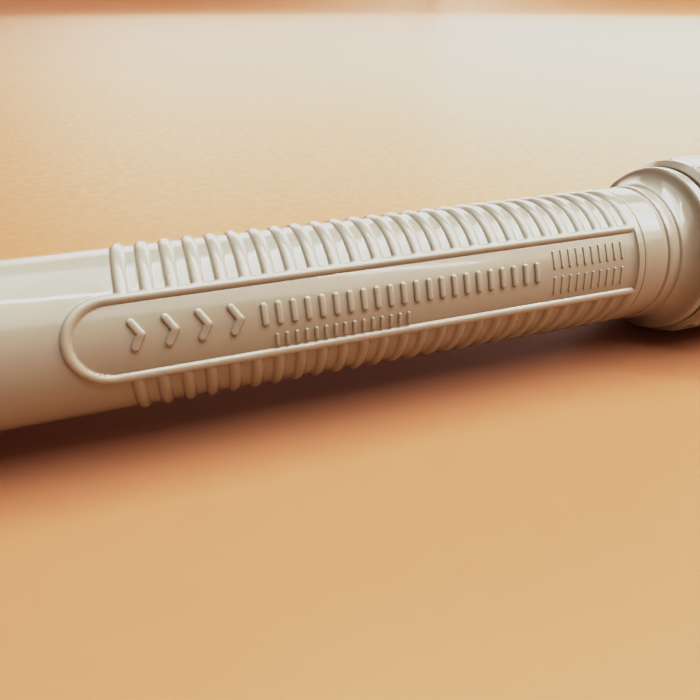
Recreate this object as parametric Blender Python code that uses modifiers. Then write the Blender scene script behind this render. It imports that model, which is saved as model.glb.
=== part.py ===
"""A spring-driven desoldering pump, lying on its side with its push button on top.

The pump's axis is +X, towards the nozzle. Stations along it are measured from the middle of the
grip's first rib. The empty "pump_axis" carries every part, and puts the origin below the middle of
the pump, at the height of the surface that its two fluted collars stand on.

At rest the plunger is released. Pushed in by STROKE, its latch cone has passed the keyhole plate
under the button, which then holds it until the button goes down by BUTTON_TRAVEL.
"""

import math

import bmesh
import bpy

MM = 0.001
GAP = 0.3 * MM  # between pieces that touch
WELD = 0.00001
FINE = 36  # sides of a turned piece
BARREL_SIDES = 28
COARSE = 24
SMALL = 16

# Barrel and grip
BARREL_R = 10.85 * MM
RIB_PITCH = 3.0 * MM
RIB_COUNT = 25
RIB_HEIGHT = 0.5 * MM
RIB_FOOT = 1.75 * MM
BAND_R = BARREL_R + 0.45 * MM
STEP_1_X = 81.0 * MM
STEP_2_X = 83.2 * MM
STEP_RISE = 0.12 * MM
BAND_BACK_X = 76.2 * MM
LIP_R = 13.8 * MM
FLARE_ARC_R = 3.05 * MM
FLARE_ARC_OUT = 0.75 * MM
FLANGE_FRONT_X = 88.3 * MM
FLANGE_R = 14.1 * MM
NECK_R = 12.1 * MM
NECK_FRONT_X = 97.0 * MM
CHAMBER_R = 8.5 * MM
BORE_R = 9.0 * MM
BORE_STEP_X = 46.0 * MM
REAR_NECK_R = 10.2 * MM
REAR_NECK_X = -45.0 * MM
BARREL_BACK_X = -53.0 * MM

# Name panel on the side of the grip, left blank
PANEL_UP = math.radians(19)
PANEL_SPREAD = math.radians(53.2)
PANEL_BACK_X = -7.05 * MM
PANEL_FRONT_X = 73.8 * MM
BEAD_R = 0.68 * MM
BEAD_SINK = 0.1 * MM
PANEL_SINK = 0.04 * MM
PANEL_ARC_STEPS = 12

# Fluted collars: the front cap and the rear cap
COLLAR_R = 15.0 * MM
FLUTE_COUNT = 18
FLUTE_HEIGHT = 0.35 * MM
FLUTE_WIDTH = 1.0 * MM
FLUTE_ROOT = 0.8 * MM
COLLAR_EDGE = 1.0 * MM

# Front cap and nozzle
CAP_BACK_X = FLANGE_FRONT_X + 0.5 * MM
CAP_FRONT_X = 105.0 * MM
CAP_NOSE_X = 114.5 * MM
CAP_SHOULDER_X = 99.7 * MM
CAP_WELL_R = 6.5 * MM
CAP_NOSE_R = 7.2 * MM
CAP_HOLE_R = 4.7 * MM
GASKET_R = 10.3 * MM
NOZZLE_SEAT_X = 104.5 * MM
NOZZLE_TIP_X = 127.0 * MM
NOZZLE_BORE_R = 1.5 * MM
NOZZLE_NECK_R = 4.4 * MM
NOZZLE_FLANGE_R = 6.2 * MM
NOZZLE_FLANGE_BACK_X = CAP_SHOULDER_X + 1.3 * MM
NOZZLE_FLANGE_FRONT_X = NOZZLE_FLANGE_BACK_X + 2.0 * MM
NOZZLE_SOCKET_R = 3.0 * MM
NOZZLE_SHOULDER_R = 2.9 * MM
NOZZLE_END_R = 2.7 * MM
NOZZLE_TIP_R = 2.4 * MM
RETAINER_R = 4.5 * MM
RETAINER_THICK = 0.7 * MM

# Rear cap
REAR_CAP_FRONT_X = REAR_NECK_X - GAP
REAR_CAP_BACK_X = -56.0 * MM
REAR_CAP_EDGE = 1.2 * MM
REAR_HOLE_R = 4.4 * MM

# Plunger
STROKE = 40.0 * MM
ROD_R = 2.5 * MM
ROD_NOSE_R = 2.0 * MM
ROD_HOLE_R = 2.8 * MM
PISTON_BACK_X = 48.6 * MM
PISTON_FRONT_X = 56.6 * MM
ROD_SHOULDER_X = PISTON_BACK_X + 1.4 * MM
PISTON_R = 8.1 * MM
PISTON_EDGE = 0.5 * MM
PISTON_GROOVE_X = PISTON_FRONT_X - 3.6 * MM
PISTON_GROOVE_HALF = 1.2 * MM
PISTON_GROOVE_R = 6.2 * MM
PISTON_RING_WIRE = 0.85 * MM
PISTON_RING_GAP = 0.12 * MM
DAMPER_HOLE_R = 4.4 * MM
DAMPER_R = 7.8 * MM
BULKHEAD_RIM = 3.2 * MM
BULKHEAD_HUB_R = 7.2 * MM
PIN_R = 0.9 * MM
PIN_TIP_R = 0.35 * MM
PIN_TAPER = 1.2 * MM
PIN_HEAD_R = 3.4 * MM
PIN_HEAD_LONG = 2.0 * MM
PIN_HEAD_EDGE = 0.4 * MM
PIN_REACH = 0.8 * MM
KNOB_FRONT_X = REAR_CAP_BACK_X - STROKE - 1.0 * MM
KNOB_BACK_X = KNOB_FRONT_X - 12.0 * MM
KNOB_R = 11.0 * MM
KNOB_HUB_R = 5.0 * MM
KNOB_FLOOR_X = KNOB_FRONT_X - 7.3 * MM
ROD_BACK_X = KNOB_FRONT_X - 7.0 * MM
SCREW_WELL_X = KNOB_BACK_X + 2.6 * MM
SCREW_WELL_R = 3.6 * MM
SCREW_HOLE_R = 1.9 * MM
SCREW_HEAD_X = KNOB_BACK_X + 2.3 * MM
SCREW_HEAD_R = 3.2 * MM
SCREW_TOP_R = 2.4 * MM
SCREW_SHANK_R = 1.6 * MM
SCREW_SLOT_HALF_LONG = 1.9 * MM
SCREW_SLOT_HALF_WIDE = 0.35 * MM
SPRING_COIL_R = 6.2 * MM
SPRING_WIRE_R = 0.5 * MM
SPRING_TURNS = 11
SPRING_SEAT_X = 39.7 * MM
SPRING_COLLAR_X = -14.0 * MM
SPRING_COLLAR_R = 7.6 * MM
SPRING_COLLAR_BACK_X = SPRING_COLLAR_X - 2.5 * MM
SPRING_GUIDE_R = 5.2 * MM
SPRING_GUIDE_LONG = 2.0 * MM
CLIP_R = 4.4 * MM
CLIP_THICK = 0.8 * MM
CLIP_X = SPRING_COLLAR_X - 3.2 * MM

# Latch and button
LATCH_X = -33.0 * MM
LATCH_THICK = 1.5 * MM
LATCH_CONE_R = 3.9 * MM
LATCH_CONE_RIM = 1.0 * MM
LATCH_CONE_LONG = 3.0 * MM
LATCH_PLATE_HALF = 5.5 * MM
LATCH_PLATE_FOOT_HALF = 4.0 * MM
LATCH_PLATE_FOOT_Z = -5.0 * MM
LATCH_PLATE_SHOULDER_Z = 6.5 * MM
LATCH_TAB_HALF = 3.0 * MM
LATCH_TAB_TOP_Z = 11.2 * MM
LATCH_SLOT_HALF = 5.9 * MM
LATCH_SLOT_FOOT_Z = -7.9 * MM
HOUSING_FRONT_X = -19.5 * MM
HOUSING_HOLE_R = 4.5 * MM
HOUSING_TOP_Z = 7.0 * MM
BUSH_FRONT_X = -19.8 * MM
BUSH_BACK_X = -26.2 * MM
BUSH_R = 5.0 * MM
BUTTON_TRAVEL = 2.2 * MM
BUTTON_LONG = 14.0 * MM
BUTTON_WIDE = 8.0 * MM
BUTTON_TOP_Z = 14.2 * MM
BUTTON_FOOT_Z = 9.7 * MM
BUTTON_ROUND = 1.0 * MM
WINDOW_GAP = 0.4 * MM
BOSS_MARGIN = 3.0 * MM
BOSS_HALF_WIDE = 6.4 * MM
BOSS_FOOT_Z = 7.4 * MM
BOSS_TOP_Z = 12.2 * MM
BOSS_ROUND = 1.2 * MM
BUTTON_SPRING_X = LATCH_X + 3.9 * MM
BUTTON_SPRING_Z = 5.4 * MM
BUTTON_SPRING_R = 1.9 * MM
BUTTON_SPRING_WIRE_R = 0.2 * MM
BUTTON_SPRING_TURNS = 4
BUTTON_SPRING_STEPS = 8
SPRING_POCKET_HALF = (2.45 * MM, 2.5 * MM)
CUT_HIGH_Z = 12.0 * MM  # above all that a cut from on top has to clear

HALF_FLUTE_TURN = math.pi / FLUTE_COUNT
FLUTE_REACH = (COLLAR_R + FLUTE_HEIGHT) * math.cos(HALF_FLUTE_TURN)
AXIS_HEIGHT = FLUTE_REACH + FLUTE_WIDTH / 2 * math.sin(HALF_FLUTE_TURN)
MIDDLE_X = (NOZZLE_TIP_X + KNOB_BACK_X) / 2

IVORY = ("ivory_shell", (0.72, 0.68, 0.60, 1), 0.32, 0.0)
CHARCOAL = ("charcoal_plastic", (0.045, 0.047, 0.052, 1), 0.4, 0.0)
NATURAL = ("natural_plastic", (0.75, 0.74, 0.70, 1), 0.5, 0.0)
NOZZLE_WHITE = ("nozzle_white", (0.82, 0.82, 0.80, 1), 0.45, 0.0)
STEEL = ("steel", (0.60, 0.60, 0.61, 1), 0.25, 1.0)
SPRING_STEEL = ("spring_steel", (0.42, 0.42, 0.44, 1), 0.35, 1.0)
BRASS = ("brass", (0.72, 0.55, 0.27, 1), 0.3, 1.0)
RUBBER = ("black_rubber", (0.03, 0.03, 0.03, 1), 0.7, 0.0)


def clear_scene():
    for obj in list(bpy.data.objects):
        bpy.data.objects.remove(obj)


def new_collection(name):
    collection = bpy.data.collections.new(name)
    bpy.context.scene.collection.children.link(collection)
    return collection


clear_scene()
PARTS = new_collection("desoldering_pump")
HELPERS = new_collection("cutters")
AXIS = bpy.data.objects.new("pump_axis", None)
AXIS.location = (-MIDDLE_X, 0, AXIS_HEIGHT)
PARTS.objects.link(AXIS)
PLUNGER = bpy.data.objects.new("plunger_axis", None)
PLUNGER.parent = AXIS
PARTS.objects.link(PLUNGER)
TRIGGER = bpy.data.objects.new("trigger_axis", None)
TRIGGER.parent = AXIS
TRIGGER.location = (LATCH_X, 0, 0)
PARTS.objects.link(TRIGGER)


def material_of(spec):
    name, colour, roughness, metallic = spec
    material = bpy.data.materials.get(name)
    if material is None:
        material = bpy.data.materials.new(name)
        material.use_nodes = True
        shader = material.node_tree.nodes["Principled BSDF"]
        shader.inputs["Base Color"].default_value = colour
        shader.inputs["Roughness"].default_value = roughness
        shader.inputs["Metallic"].default_value = metallic
    return material


def part(name, data, spec, parent=None):
    """A named object on the pump's axis; a cutter has no material and goes with the helpers."""
    obj = bpy.data.objects.new(name, data)
    collection = PARTS if spec else HELPERS
    collection.objects.link(obj)
    obj.parent = parent or AXIS
    if spec:
        data.materials.append(material_of(spec))
    else:
        obj.hide_render = True
        obj.display_type = "WIRE"
    return obj


def area_of(outline):
    """Twice the signed area of an (x, r) outline."""
    following = outline[1:] + outline[:1]
    return sum(x0 * r1 - x1 * r0 for (x0, r0), (x1, r1) in zip(outline, following))


def turned(name, outline, spec, sides=FINE, parent=None):
    """An outline of (x, r) points turned round the pump's axis. One that ends on the axis is a solid rod."""
    if area_of(outline) < 0:
        outline = outline[::-1]
    on_axis = [i for i, (_, r) in enumerate(outline) if r == 0]
    if on_axis:
        start = next(i for i in on_axis if outline[(i + 1) % len(outline)][1] > 0)
        outline = outline[start:] + outline[:start]
    count = len(outline)
    edges = [(i, i + 1) for i in range(count - 1)]
    if not on_axis:
        edges.append((count - 1, 0))
    mesh = bpy.data.meshes.new(name)
    mesh.from_pydata([(r, 0, x) for x, r in outline], edges, [])
    obj = part(name, mesh, spec, parent)
    obj.rotation_euler = (0, math.pi / 2, 0)
    screw = obj.modifiers.new("turn", "SCREW")
    screw.axis = "Z"
    screw.angle = 2 * math.pi
    screw.steps = screw.render_steps = sides
    screw.use_merge_vertices = True
    screw.merge_threshold = WELD
    return obj


def arc(centre_x, centre_r, radius, start, end, steps):
    """(x, r) points on an arc; angles in degrees from +x towards +r."""
    angles = [math.radians(start + (end - start) * i / steps) for i in range(steps + 1)]
    return [(centre_x + radius * math.cos(a), centre_r + radius * math.sin(a)) for a in angles]


def ring(name, x, middle_r, wire_r, spec, parent=None):
    """An O-ring round the axis."""
    return turned(name, arc(x, middle_r, wire_r, 0, 315, 7), spec, COARSE, parent)


def box(name, low, high, spec, parent=None):
    """A box between two corners."""
    mesh = bpy.data.meshes.new(name)
    shape = bmesh.new()
    bmesh.ops.create_cube(shape, size=1)
    size = [b - a for a, b in zip(low, high)]
    bmesh.ops.scale(shape, vec=size, verts=shape.verts)
    bmesh.ops.translate(shape, vec=[(a + b) / 2 for a, b in zip(low, high)], verts=shape.verts)
    shape.to_mesh(mesh)
    shape.free()
    return part(name, mesh, spec, parent)


def boolean(obj, operation, other):
    modifier = obj.modifiers.new(operation.lower() + "_" + other.name, "BOOLEAN")
    modifier.operation = operation
    modifier.object = other
    return obj


def bevel(obj, width, segments=2, angle=40):
    modifier = obj.modifiers.new("bevel", "BEVEL")
    modifier.width = width
    modifier.segments = segments
    modifier.limit_method = "ANGLE"
    modifier.angle_limit = math.radians(angle)
    return obj


def closed_mesh(name, curve):
    """A curve made a closed mesh."""
    guide = bpy.data.objects.new(name + "_guide", curve)
    HELPERS.objects.link(guide)
    bpy.context.view_layer.update()
    graph = bpy.context.evaluated_depsgraph_get()
    mesh = bpy.data.meshes.new_from_object(guide.evaluated_get(graph))
    bpy.data.objects.remove(guide)
    shape = bmesh.new()
    shape.from_mesh(mesh)
    bmesh.ops.remove_doubles(shape, verts=shape.verts, dist=WELD)
    bmesh.ops.recalc_face_normals(shape, faces=shape.faces)
    shape.to_mesh(mesh)
    shape.free()
    mesh.name = name
    return mesh


def tube(name, points, radius, spec, resolution=2):
    """A round wire through points, made a closed mesh."""
    curve = bpy.data.curves.new(name, "CURVE")
    curve.dimensions = "3D"
    curve.bevel_depth = radius
    curve.bevel_resolution = resolution
    curve.use_fill_caps = True
    spline = curve.splines.new("POLY")
    spline.points.add(len(points) - 1)
    for place, point in zip(spline.points, points):
        place.co = (*point, 1)
    return part(name, closed_mesh(name, curve), spec)


def extruded(name, loops, thickness, spec, parent=None):
    """A flat plate of closed (y, z) loops across the axis, of this thickness along it."""
    curve = bpy.data.curves.new(name, "CURVE")
    curve.dimensions = "2D"
    curve.fill_mode = "BOTH"
    curve.extrude = thickness / 2
    for loop in loops:
        spline = curve.splines.new("POLY")
        spline.points.add(len(loop) - 1)
        spline.use_cyclic_u = True
        for place, (y, z) in zip(spline.points, loop):
            place.co = (y, z, 0, 1)
    obj = part(name, closed_mesh(name, curve), spec, parent)
    obj.rotation_euler = (math.pi / 2, 0, math.pi / 2)
    return obj


def helix(start, along, coil_r, turns, per_turn, across):
    """Points of a coil from start, whose axis is the vector along, square to the two units across."""
    count = turns * per_turn
    points = []
    for i in range(count + 1):
        share = i / count
        angle = 2 * math.pi * i / per_turn
        points.append(
            tuple(
                start[k]
                + along[k] * share
                + coil_r * (math.cos(angle) * across[0][k] + math.sin(angle) * across[1][k])
                for k in range(3)
            )
        )
    return points


def flutes(name, back_x, front_x):
    """The bars that a fluted collar gets all round, as one cutter to join to it."""
    mesh = bpy.data.meshes.new(name)
    shape = bmesh.new()
    inner, outer = COLLAR_R - FLUTE_ROOT, COLLAR_R + FLUTE_HEIGHT
    for i in range(FLUTE_COUNT):
        turn = -math.pi / 2 + (i + 0.5) * 2 * math.pi / FLUTE_COUNT
        out = (math.cos(turn), math.sin(turn))
        side = (-out[1], out[0])
        bar = bmesh.ops.create_cube(shape, size=1)["verts"]
        for vertex in bar:
            x = (back_x + front_x) / 2 + vertex.co.x * (front_x - back_x)
            across = vertex.co.y * FLUTE_WIDTH
            reach = (inner + outer) / 2 + vertex.co.z * (outer - inner)
            vertex.co = (x, reach * out[0] + across * side[0], reach * out[1] + across * side[1])
    shape.to_mesh(mesh)
    shape.free()
    return part(name, mesh, None)


# ---------------------------------------------------------------- barrel


def grip_ribs():
    """(x, r) points of the ribs, from the first one to the ring that closes the grip."""
    points = []
    for i in range(RIB_COUNT + 1):
        x = i * RIB_PITCH
        points += [(x - RIB_FOOT / 2, BARREL_R), (x, BARREL_R + RIB_HEIGHT)]
        if i < RIB_COUNT:
            points.append((x + RIB_FOOT / 2, BARREL_R))
    return points


def half_turn():
    """Even angles from straight across the panel, round its back end, to straight across again."""
    return [math.pi / 2 + math.pi * i / PANEL_ARC_STEPS for i in range(PANEL_ARC_STEPS + 1)]


def panel_cutter():
    """The space above the panel's floor: a long round-ended prism, kept outside the barrel's root."""
    half = BARREL_R * math.sin(PANEL_SPREAD / 2)
    outline = [(PANEL_FRONT_X, -half), (PANEL_FRONT_X, half)]
    for angle in half_turn():
        outline.append((PANEL_BACK_X + half + half * math.cos(angle), half * math.sin(angle)))
    depth = 20 * MM
    mesh = bpy.data.meshes.new("panel_prism")
    shape = bmesh.new()
    face = shape.faces.new([shape.verts.new((x, 0, s)) for x, s in outline])
    swept = bmesh.ops.extrude_face_region(shape, geom=[face])["geom"]
    moved = [v for v in swept if isinstance(v, bmesh.types.BMVert)]
    bmesh.ops.translate(shape, vec=(0, -depth, 0), verts=moved)
    bmesh.ops.recalc_face_normals(shape, faces=shape.faces)
    shape.to_mesh(mesh)
    shape.free()
    prism = part("panel_prism", mesh, None)
    prism.rotation_euler = (-PANEL_UP, 0, 0)
    inner, outer = BARREL_R - PANEL_SINK, BARREL_R + 2 * MM
    back, front = PANEL_BACK_X - MM, BAND_BACK_X - 0.2 * MM
    outline = [(back, inner), (back, outer), (front, outer), (front, inner)]
    shell = turned("panel_shell", outline, None, BARREL_SIDES)
    return boolean(shell, "INTERSECT", prism)


def panel_bead():
    """The raised line round the panel: two straight runs joined by a round end, wrapped on the barrel."""
    half = PANEL_SPREAD / 2
    reach = BARREL_R * half
    route = [(PANEL_FRONT_X + MM, half)]
    for angle in half_turn():
        route.append((PANEL_BACK_X + reach + reach * math.cos(angle), half * math.sin(angle)))
    route.append((PANEL_FRONT_X + MM, -half))
    radius = BARREL_R - BEAD_SINK
    points = []
    for x, turn in route:
        up = PANEL_UP + turn
        points.append((x, -radius * math.cos(up), radius * math.sin(up)))
    return tube("panel_bead", points, BEAD_R, None)


def barrel():
    flare = arc(STEP_2_X + GAP, LIP_R + FLARE_ARC_OUT, FLARE_ARC_R, 270, 345, 4)
    outline = [
        (BARREL_BACK_X, BORE_R),
        (BARREL_BACK_X, REAR_NECK_R),
        (REAR_NECK_X, REAR_NECK_R),
        (REAR_NECK_X, BARREL_R),
        *grip_ribs(),
        (BAND_BACK_X, BAND_R),
        (STEP_1_X, BAND_R),
        (STEP_1_X, BAND_R + STEP_RISE),
        (STEP_2_X, BAND_R + STEP_RISE),
        *flare,
        (FLANGE_FRONT_X - 0.5 * MM, FLANGE_R),
        (FLANGE_FRONT_X, FLANGE_R - 0.4 * MM),
        (FLANGE_FRONT_X, NECK_R),
        (NECK_FRONT_X - 0.6 * MM, NECK_R),
        (NECK_FRONT_X, NECK_R - 0.6 * MM),
        (NECK_FRONT_X, CHAMBER_R),
        (BORE_STEP_X, CHAMBER_R),
        (BORE_STEP_X, BORE_R),
    ]
    obj = turned("barrel", outline, IVORY, BARREL_SIDES)
    boolean(obj, "DIFFERENCE", panel_cutter())
    boolean(obj, "UNION", panel_bead())
    reach = BUTTON_LONG / 2 + BOSS_MARGIN
    low = (LATCH_X - reach, -BOSS_HALF_WIDE, BOSS_FOOT_Z)
    high = (LATCH_X + reach, BOSS_HALF_WIDE, BOSS_TOP_Z)
    boolean(obj, "UNION", bevel(box("button_boss", low, high, None), BOSS_ROUND))
    back, front = LATCH_X - reach - MM, LATCH_X + reach + MM
    relief_r = BORE_R + 0.06 * MM
    relief = [(back, 0), (back, relief_r), (front, relief_r), (front, 0)]
    boolean(obj, "DIFFERENCE", turned("latch_relief", relief, None))
    half_long = BUTTON_LONG / 2 + WINDOW_GAP
    half_wide = BUTTON_WIDE / 2 + WINDOW_GAP
    low = (LATCH_X - half_long, -half_wide, BOSS_FOOT_Z - 1.4 * MM)
    high = (LATCH_X + half_long, half_wide, BOSS_TOP_Z + 3.8 * MM)
    return boolean(obj, "DIFFERENCE", box("button_window", low, high, None))


def rear_cap():
    spigot_r = BORE_R - GAP
    inner_end = BARREL_BACK_X - GAP
    outline = [
        (REAR_CAP_FRONT_X, REAR_NECK_R + GAP),
        (REAR_CAP_FRONT_X, COLLAR_R - COLLAR_EDGE),
        (REAR_CAP_FRONT_X - COLLAR_EDGE, COLLAR_R),
        (REAR_CAP_BACK_X + REAR_CAP_EDGE, COLLAR_R),
        (REAR_CAP_BACK_X, COLLAR_R - REAR_CAP_EDGE),
        (REAR_CAP_BACK_X, REAR_HOLE_R),
        (REAR_CAP_FRONT_X + GAP, REAR_HOLE_R),
        (REAR_CAP_FRONT_X + GAP, spigot_r),
        (inner_end, spigot_r),
        (inner_end, REAR_NECK_R + GAP),
    ]
    obj = turned("rear_cap", outline, IVORY)
    bars = flutes("rear_flutes", REAR_CAP_BACK_X + 1.6 * MM, REAR_CAP_FRONT_X - 1.4 * MM)
    return boolean(obj, "UNION", bars)


def front_gasket():
    middle = (NECK_FRONT_X + CAP_SHOULDER_X) / 2
    return ring("front_gasket", middle, GASKET_R, middle - NECK_FRONT_X - GAP, RUBBER)


def bulkhead():
    """The guide wall behind the suction chamber: the rod slides in it and the main spring pushes on it."""
    outline = [
        (BORE_STEP_X - GAP, ROD_HOLE_R),
        (BORE_STEP_X - GAP, BORE_R - GAP),
        (BORE_STEP_X - BULKHEAD_RIM, BORE_R - GAP),
        (BORE_STEP_X - BULKHEAD_RIM, BULKHEAD_HUB_R),
        (SPRING_SEAT_X + GAP, BULKHEAD_HUB_R),
        (SPRING_SEAT_X + GAP, ROD_HOLE_R),
    ]
    return turned("chamber_bulkhead", outline, NATURAL, COARSE)


def damper():
    outline = [
        (BORE_STEP_X + GAP, DAMPER_HOLE_R),
        (BORE_STEP_X + GAP, DAMPER_R),
        (PISTON_BACK_X - GAP, DAMPER_R),
        (PISTON_BACK_X - GAP, DAMPER_HOLE_R),
    ]
    return turned("damper_ring", outline, RUBBER, COARSE)


# ---------------------------------------------------------------- latch


def latch_housing():
    """The insert in the barrel's back end, for the rod bush, keyhole plate and button's spring."""
    back = REAR_CAP_FRONT_X + 2 * GAP
    seat = BUSH_BACK_X - GAP
    outline = [
        (back, HOUSING_HOLE_R),
        (back, BORE_R - GAP),
        (HOUSING_FRONT_X, BORE_R - GAP),
        (HOUSING_FRONT_X, BUSH_R + GAP),
        (seat, BUSH_R + GAP),
        (seat, HOUSING_HOLE_R),
    ]
    obj = turned("latch_housing", outline, NATURAL)
    half_slot = LATCH_THICK / 2 + GAP
    half_top = BUTTON_LONG / 2 + MM
    half_long, half_wide = SPRING_POCKET_HALF
    for name, x, long, wide, foot in (
        ("latch_slot", LATCH_X, half_slot, LATCH_SLOT_HALF, LATCH_SLOT_FOOT_Z),
        ("latch_top_cut", LATCH_X, half_top, BARREL_R, HOUSING_TOP_Z),
        ("spring_pocket", BUTTON_SPRING_X, half_long, half_wide, BUTTON_SPRING_Z - GAP),
    ):
        cut = box(name, (x - long, -wide, foot), (x + long, wide, CUT_HIGH_Z), None)
        boolean(obj, "DIFFERENCE", cut)
    return obj


def rod_bush():
    outline = [
        (BUSH_FRONT_X, ROD_HOLE_R),
        (BUSH_FRONT_X, BUSH_R),
        (BUSH_BACK_X, BUSH_R),
        (BUSH_BACK_X, ROD_HOLE_R),
    ]
    return turned("rod_bush", outline, BRASS, COARSE)


def circle(centre_z, radius, start, end, steps):
    """(y, z) points on an arc; angles in degrees from +y towards +z."""
    angles = [math.radians(start + (end - start) * i / steps) for i in range(steps + 1)]
    return [(radius * math.cos(a), centre_z + radius * math.sin(a)) for a in angles]


def latch_plate():
    """The keyhole plate. Its narrow seat is round the rod at rest; its wide eye is, with the button down."""
    half, foot, tab = LATCH_PLATE_HALF, LATCH_PLATE_FOOT_HALF, LATCH_TAB_HALF
    low = LATCH_PLATE_FOOT_Z
    corner = low + half - foot
    shoulder = LATCH_PLATE_SHOULDER_Z
    neck = shoulder + 0.4 * MM
    right = [(foot, low), (half, corner), (half, shoulder), (tab, neck), (tab, LATCH_TAB_TOP_Z)]
    left = [(-y, z) for y, z in right[::-1]]
    seat = circle(0, ROD_HOLE_R, 180, 360, 8)
    eye = circle(BUTTON_TRAVEL, LATCH_CONE_R + 0.4 * MM, -20, 200, 14)
    loops = [left[-1:] + right + left[:-1], seat + eye]
    return extruded("latch_plate", loops, LATCH_THICK, STEEL, TRIGGER)


def button():
    """The push button: a rounded cap in the barrel's window, slotted over the latch plate's tab."""
    low = (-BUTTON_LONG / 2, -BUTTON_WIDE / 2, BUTTON_FOOT_Z)
    high = (BUTTON_LONG / 2, BUTTON_WIDE / 2, BUTTON_TOP_Z)
    obj = bevel(box("button", low, high, CHARCOAL, TRIGGER), BUTTON_ROUND, 3)
    half = LATCH_THICK / 2 + GAP
    low = (-half, -LATCH_TAB_HALF - GAP, BUTTON_FOOT_Z - MM)
    high = (half, LATCH_TAB_HALF + GAP, LATCH_TAB_TOP_Z + GAP)
    return boolean(obj, "DIFFERENCE", box("button_slot", low, high, None, TRIGGER))


def button_spring():
    wire = BUTTON_SPRING_WIRE_R
    start = (BUTTON_SPRING_X, 0, BUTTON_SPRING_Z + wire)
    rise = (0, 0, BUTTON_FOOT_Z - GAP - BUTTON_SPRING_Z - 2 * wire)
    turns, steps = BUTTON_SPRING_TURNS, BUTTON_SPRING_STEPS
    points = helix(start, rise, BUTTON_SPRING_R, turns, steps, ((1, 0, 0), (0, 1, 0)))
    return tube("button_spring", points, wire, SPRING_STEEL, 0)


# ---------------------------------------------------------------- plunger


def main_spring():
    back = SPRING_COLLAR_X + GAP + SPRING_WIRE_R
    length = SPRING_SEAT_X - SPRING_WIRE_R - back
    points = helix((back, 0, 0), (length, 0, 0), SPRING_COIL_R, SPRING_TURNS, 9, ((0, 1, 0), (0, 0, 1)))
    return tube("main_spring", points, SPRING_WIRE_R, SPRING_STEEL, 1)


def plunger_rod():
    outline = [
        (PISTON_FRONT_X, 0),
        (PISTON_FRONT_X, ROD_NOSE_R),
        (ROD_SHOULDER_X, ROD_NOSE_R),
        (ROD_SHOULDER_X, ROD_R),
        (ROD_BACK_X, ROD_R),
        (ROD_BACK_X, 0),
    ]
    return turned("plunger_rod", outline, STEEL, SMALL, PLUNGER)


def spring_collar():
    guide_front = SPRING_COLLAR_X + SPRING_GUIDE_LONG
    outline = [
        (guide_front, ROD_HOLE_R),
        (guide_front, SPRING_GUIDE_R),
        (SPRING_COLLAR_X, SPRING_GUIDE_R),
        (SPRING_COLLAR_X, SPRING_COLLAR_R),
        (SPRING_COLLAR_BACK_X, SPRING_COLLAR_R),
        (SPRING_COLLAR_BACK_X, ROD_HOLE_R),
    ]
    return turned("spring_collar", outline, NATURAL, COARSE, PLUNGER)


def collar_clip():
    """The clip behind the spring collar: a ring with a gap, sprung on to the rod."""
    outer = circle(0, CLIP_R, 115, 425, 14)
    inner = circle(0, ROD_HOLE_R, 425, 115, 14)
    clip = extruded("collar_clip", [outer + inner], CLIP_THICK, SPRING_STEEL, PLUNGER)
    clip.location = (CLIP_X, 0, 0)
    return clip


def latch_cone():
    """The catch on the rod: a cone that pushes the keyhole plate down, and its flat back."""
    flat = LATCH_X + LATCH_THICK / 2 + GAP - STROKE
    outline = [
        (flat, ROD_HOLE_R),
        (flat, LATCH_CONE_R),
        (flat + LATCH_CONE_RIM, LATCH_CONE_R),
        (flat + LATCH_CONE_LONG, ROD_HOLE_R + 0.2 * MM),
        (flat + LATCH_CONE_LONG, ROD_HOLE_R),
    ]
    return turned("latch_cone", outline, STEEL, COARSE, PLUNGER)


def piston():
    groove_back = PISTON_GROOVE_X - PISTON_GROOVE_HALF
    groove_front = PISTON_GROOVE_X + PISTON_GROOVE_HALF
    seat = ROD_SHOULDER_X + GAP
    outline = [
        (PISTON_BACK_X, ROD_HOLE_R),
        (PISTON_BACK_X, PISTON_R - PISTON_EDGE),
        (PISTON_BACK_X + PISTON_EDGE, PISTON_R),
        (groove_back, PISTON_R),
        (groove_back, PISTON_GROOVE_R),
        (groove_front, PISTON_GROOVE_R),
        (groove_front, PISTON_R),
        (PISTON_FRONT_X - PISTON_EDGE, PISTON_R),
        (PISTON_FRONT_X, PISTON_R - PISTON_EDGE),
        (PISTON_FRONT_X, ROD_NOSE_R + GAP),
        (seat, ROD_NOSE_R + GAP),
        (seat, ROD_HOLE_R),
    ]
    return turned("piston", outline, NATURAL, COARSE, PLUNGER)


def piston_ring():
    middle = CHAMBER_R - PISTON_RING_GAP - PISTON_RING_WIRE
    return ring("piston_ring", PISTON_GROOVE_X, middle, PISTON_RING_WIRE, RUBBER, PLUNGER)


def cleaning_pin():
    """The pin that clears the nozzle at the end of the stroke; its head holds the piston on the rod."""
    back = PISTON_FRONT_X + GAP
    head = back + PIN_HEAD_LONG
    tip = NOZZLE_TIP_X + PIN_REACH - STROKE
    outline = [
        (back, 0),
        (back, PIN_HEAD_R),
        (head - PIN_HEAD_EDGE, PIN_HEAD_R),
        (head, PIN_HEAD_R - PIN_HEAD_EDGE),
        (head, PIN_R),
        (tip - PIN_TAPER, PIN_R),
        (tip, PIN_TIP_R),
        (tip, 0),
    ]
    return turned("cleaning_pin", outline, STEEL, SMALL, PLUNGER)


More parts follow.
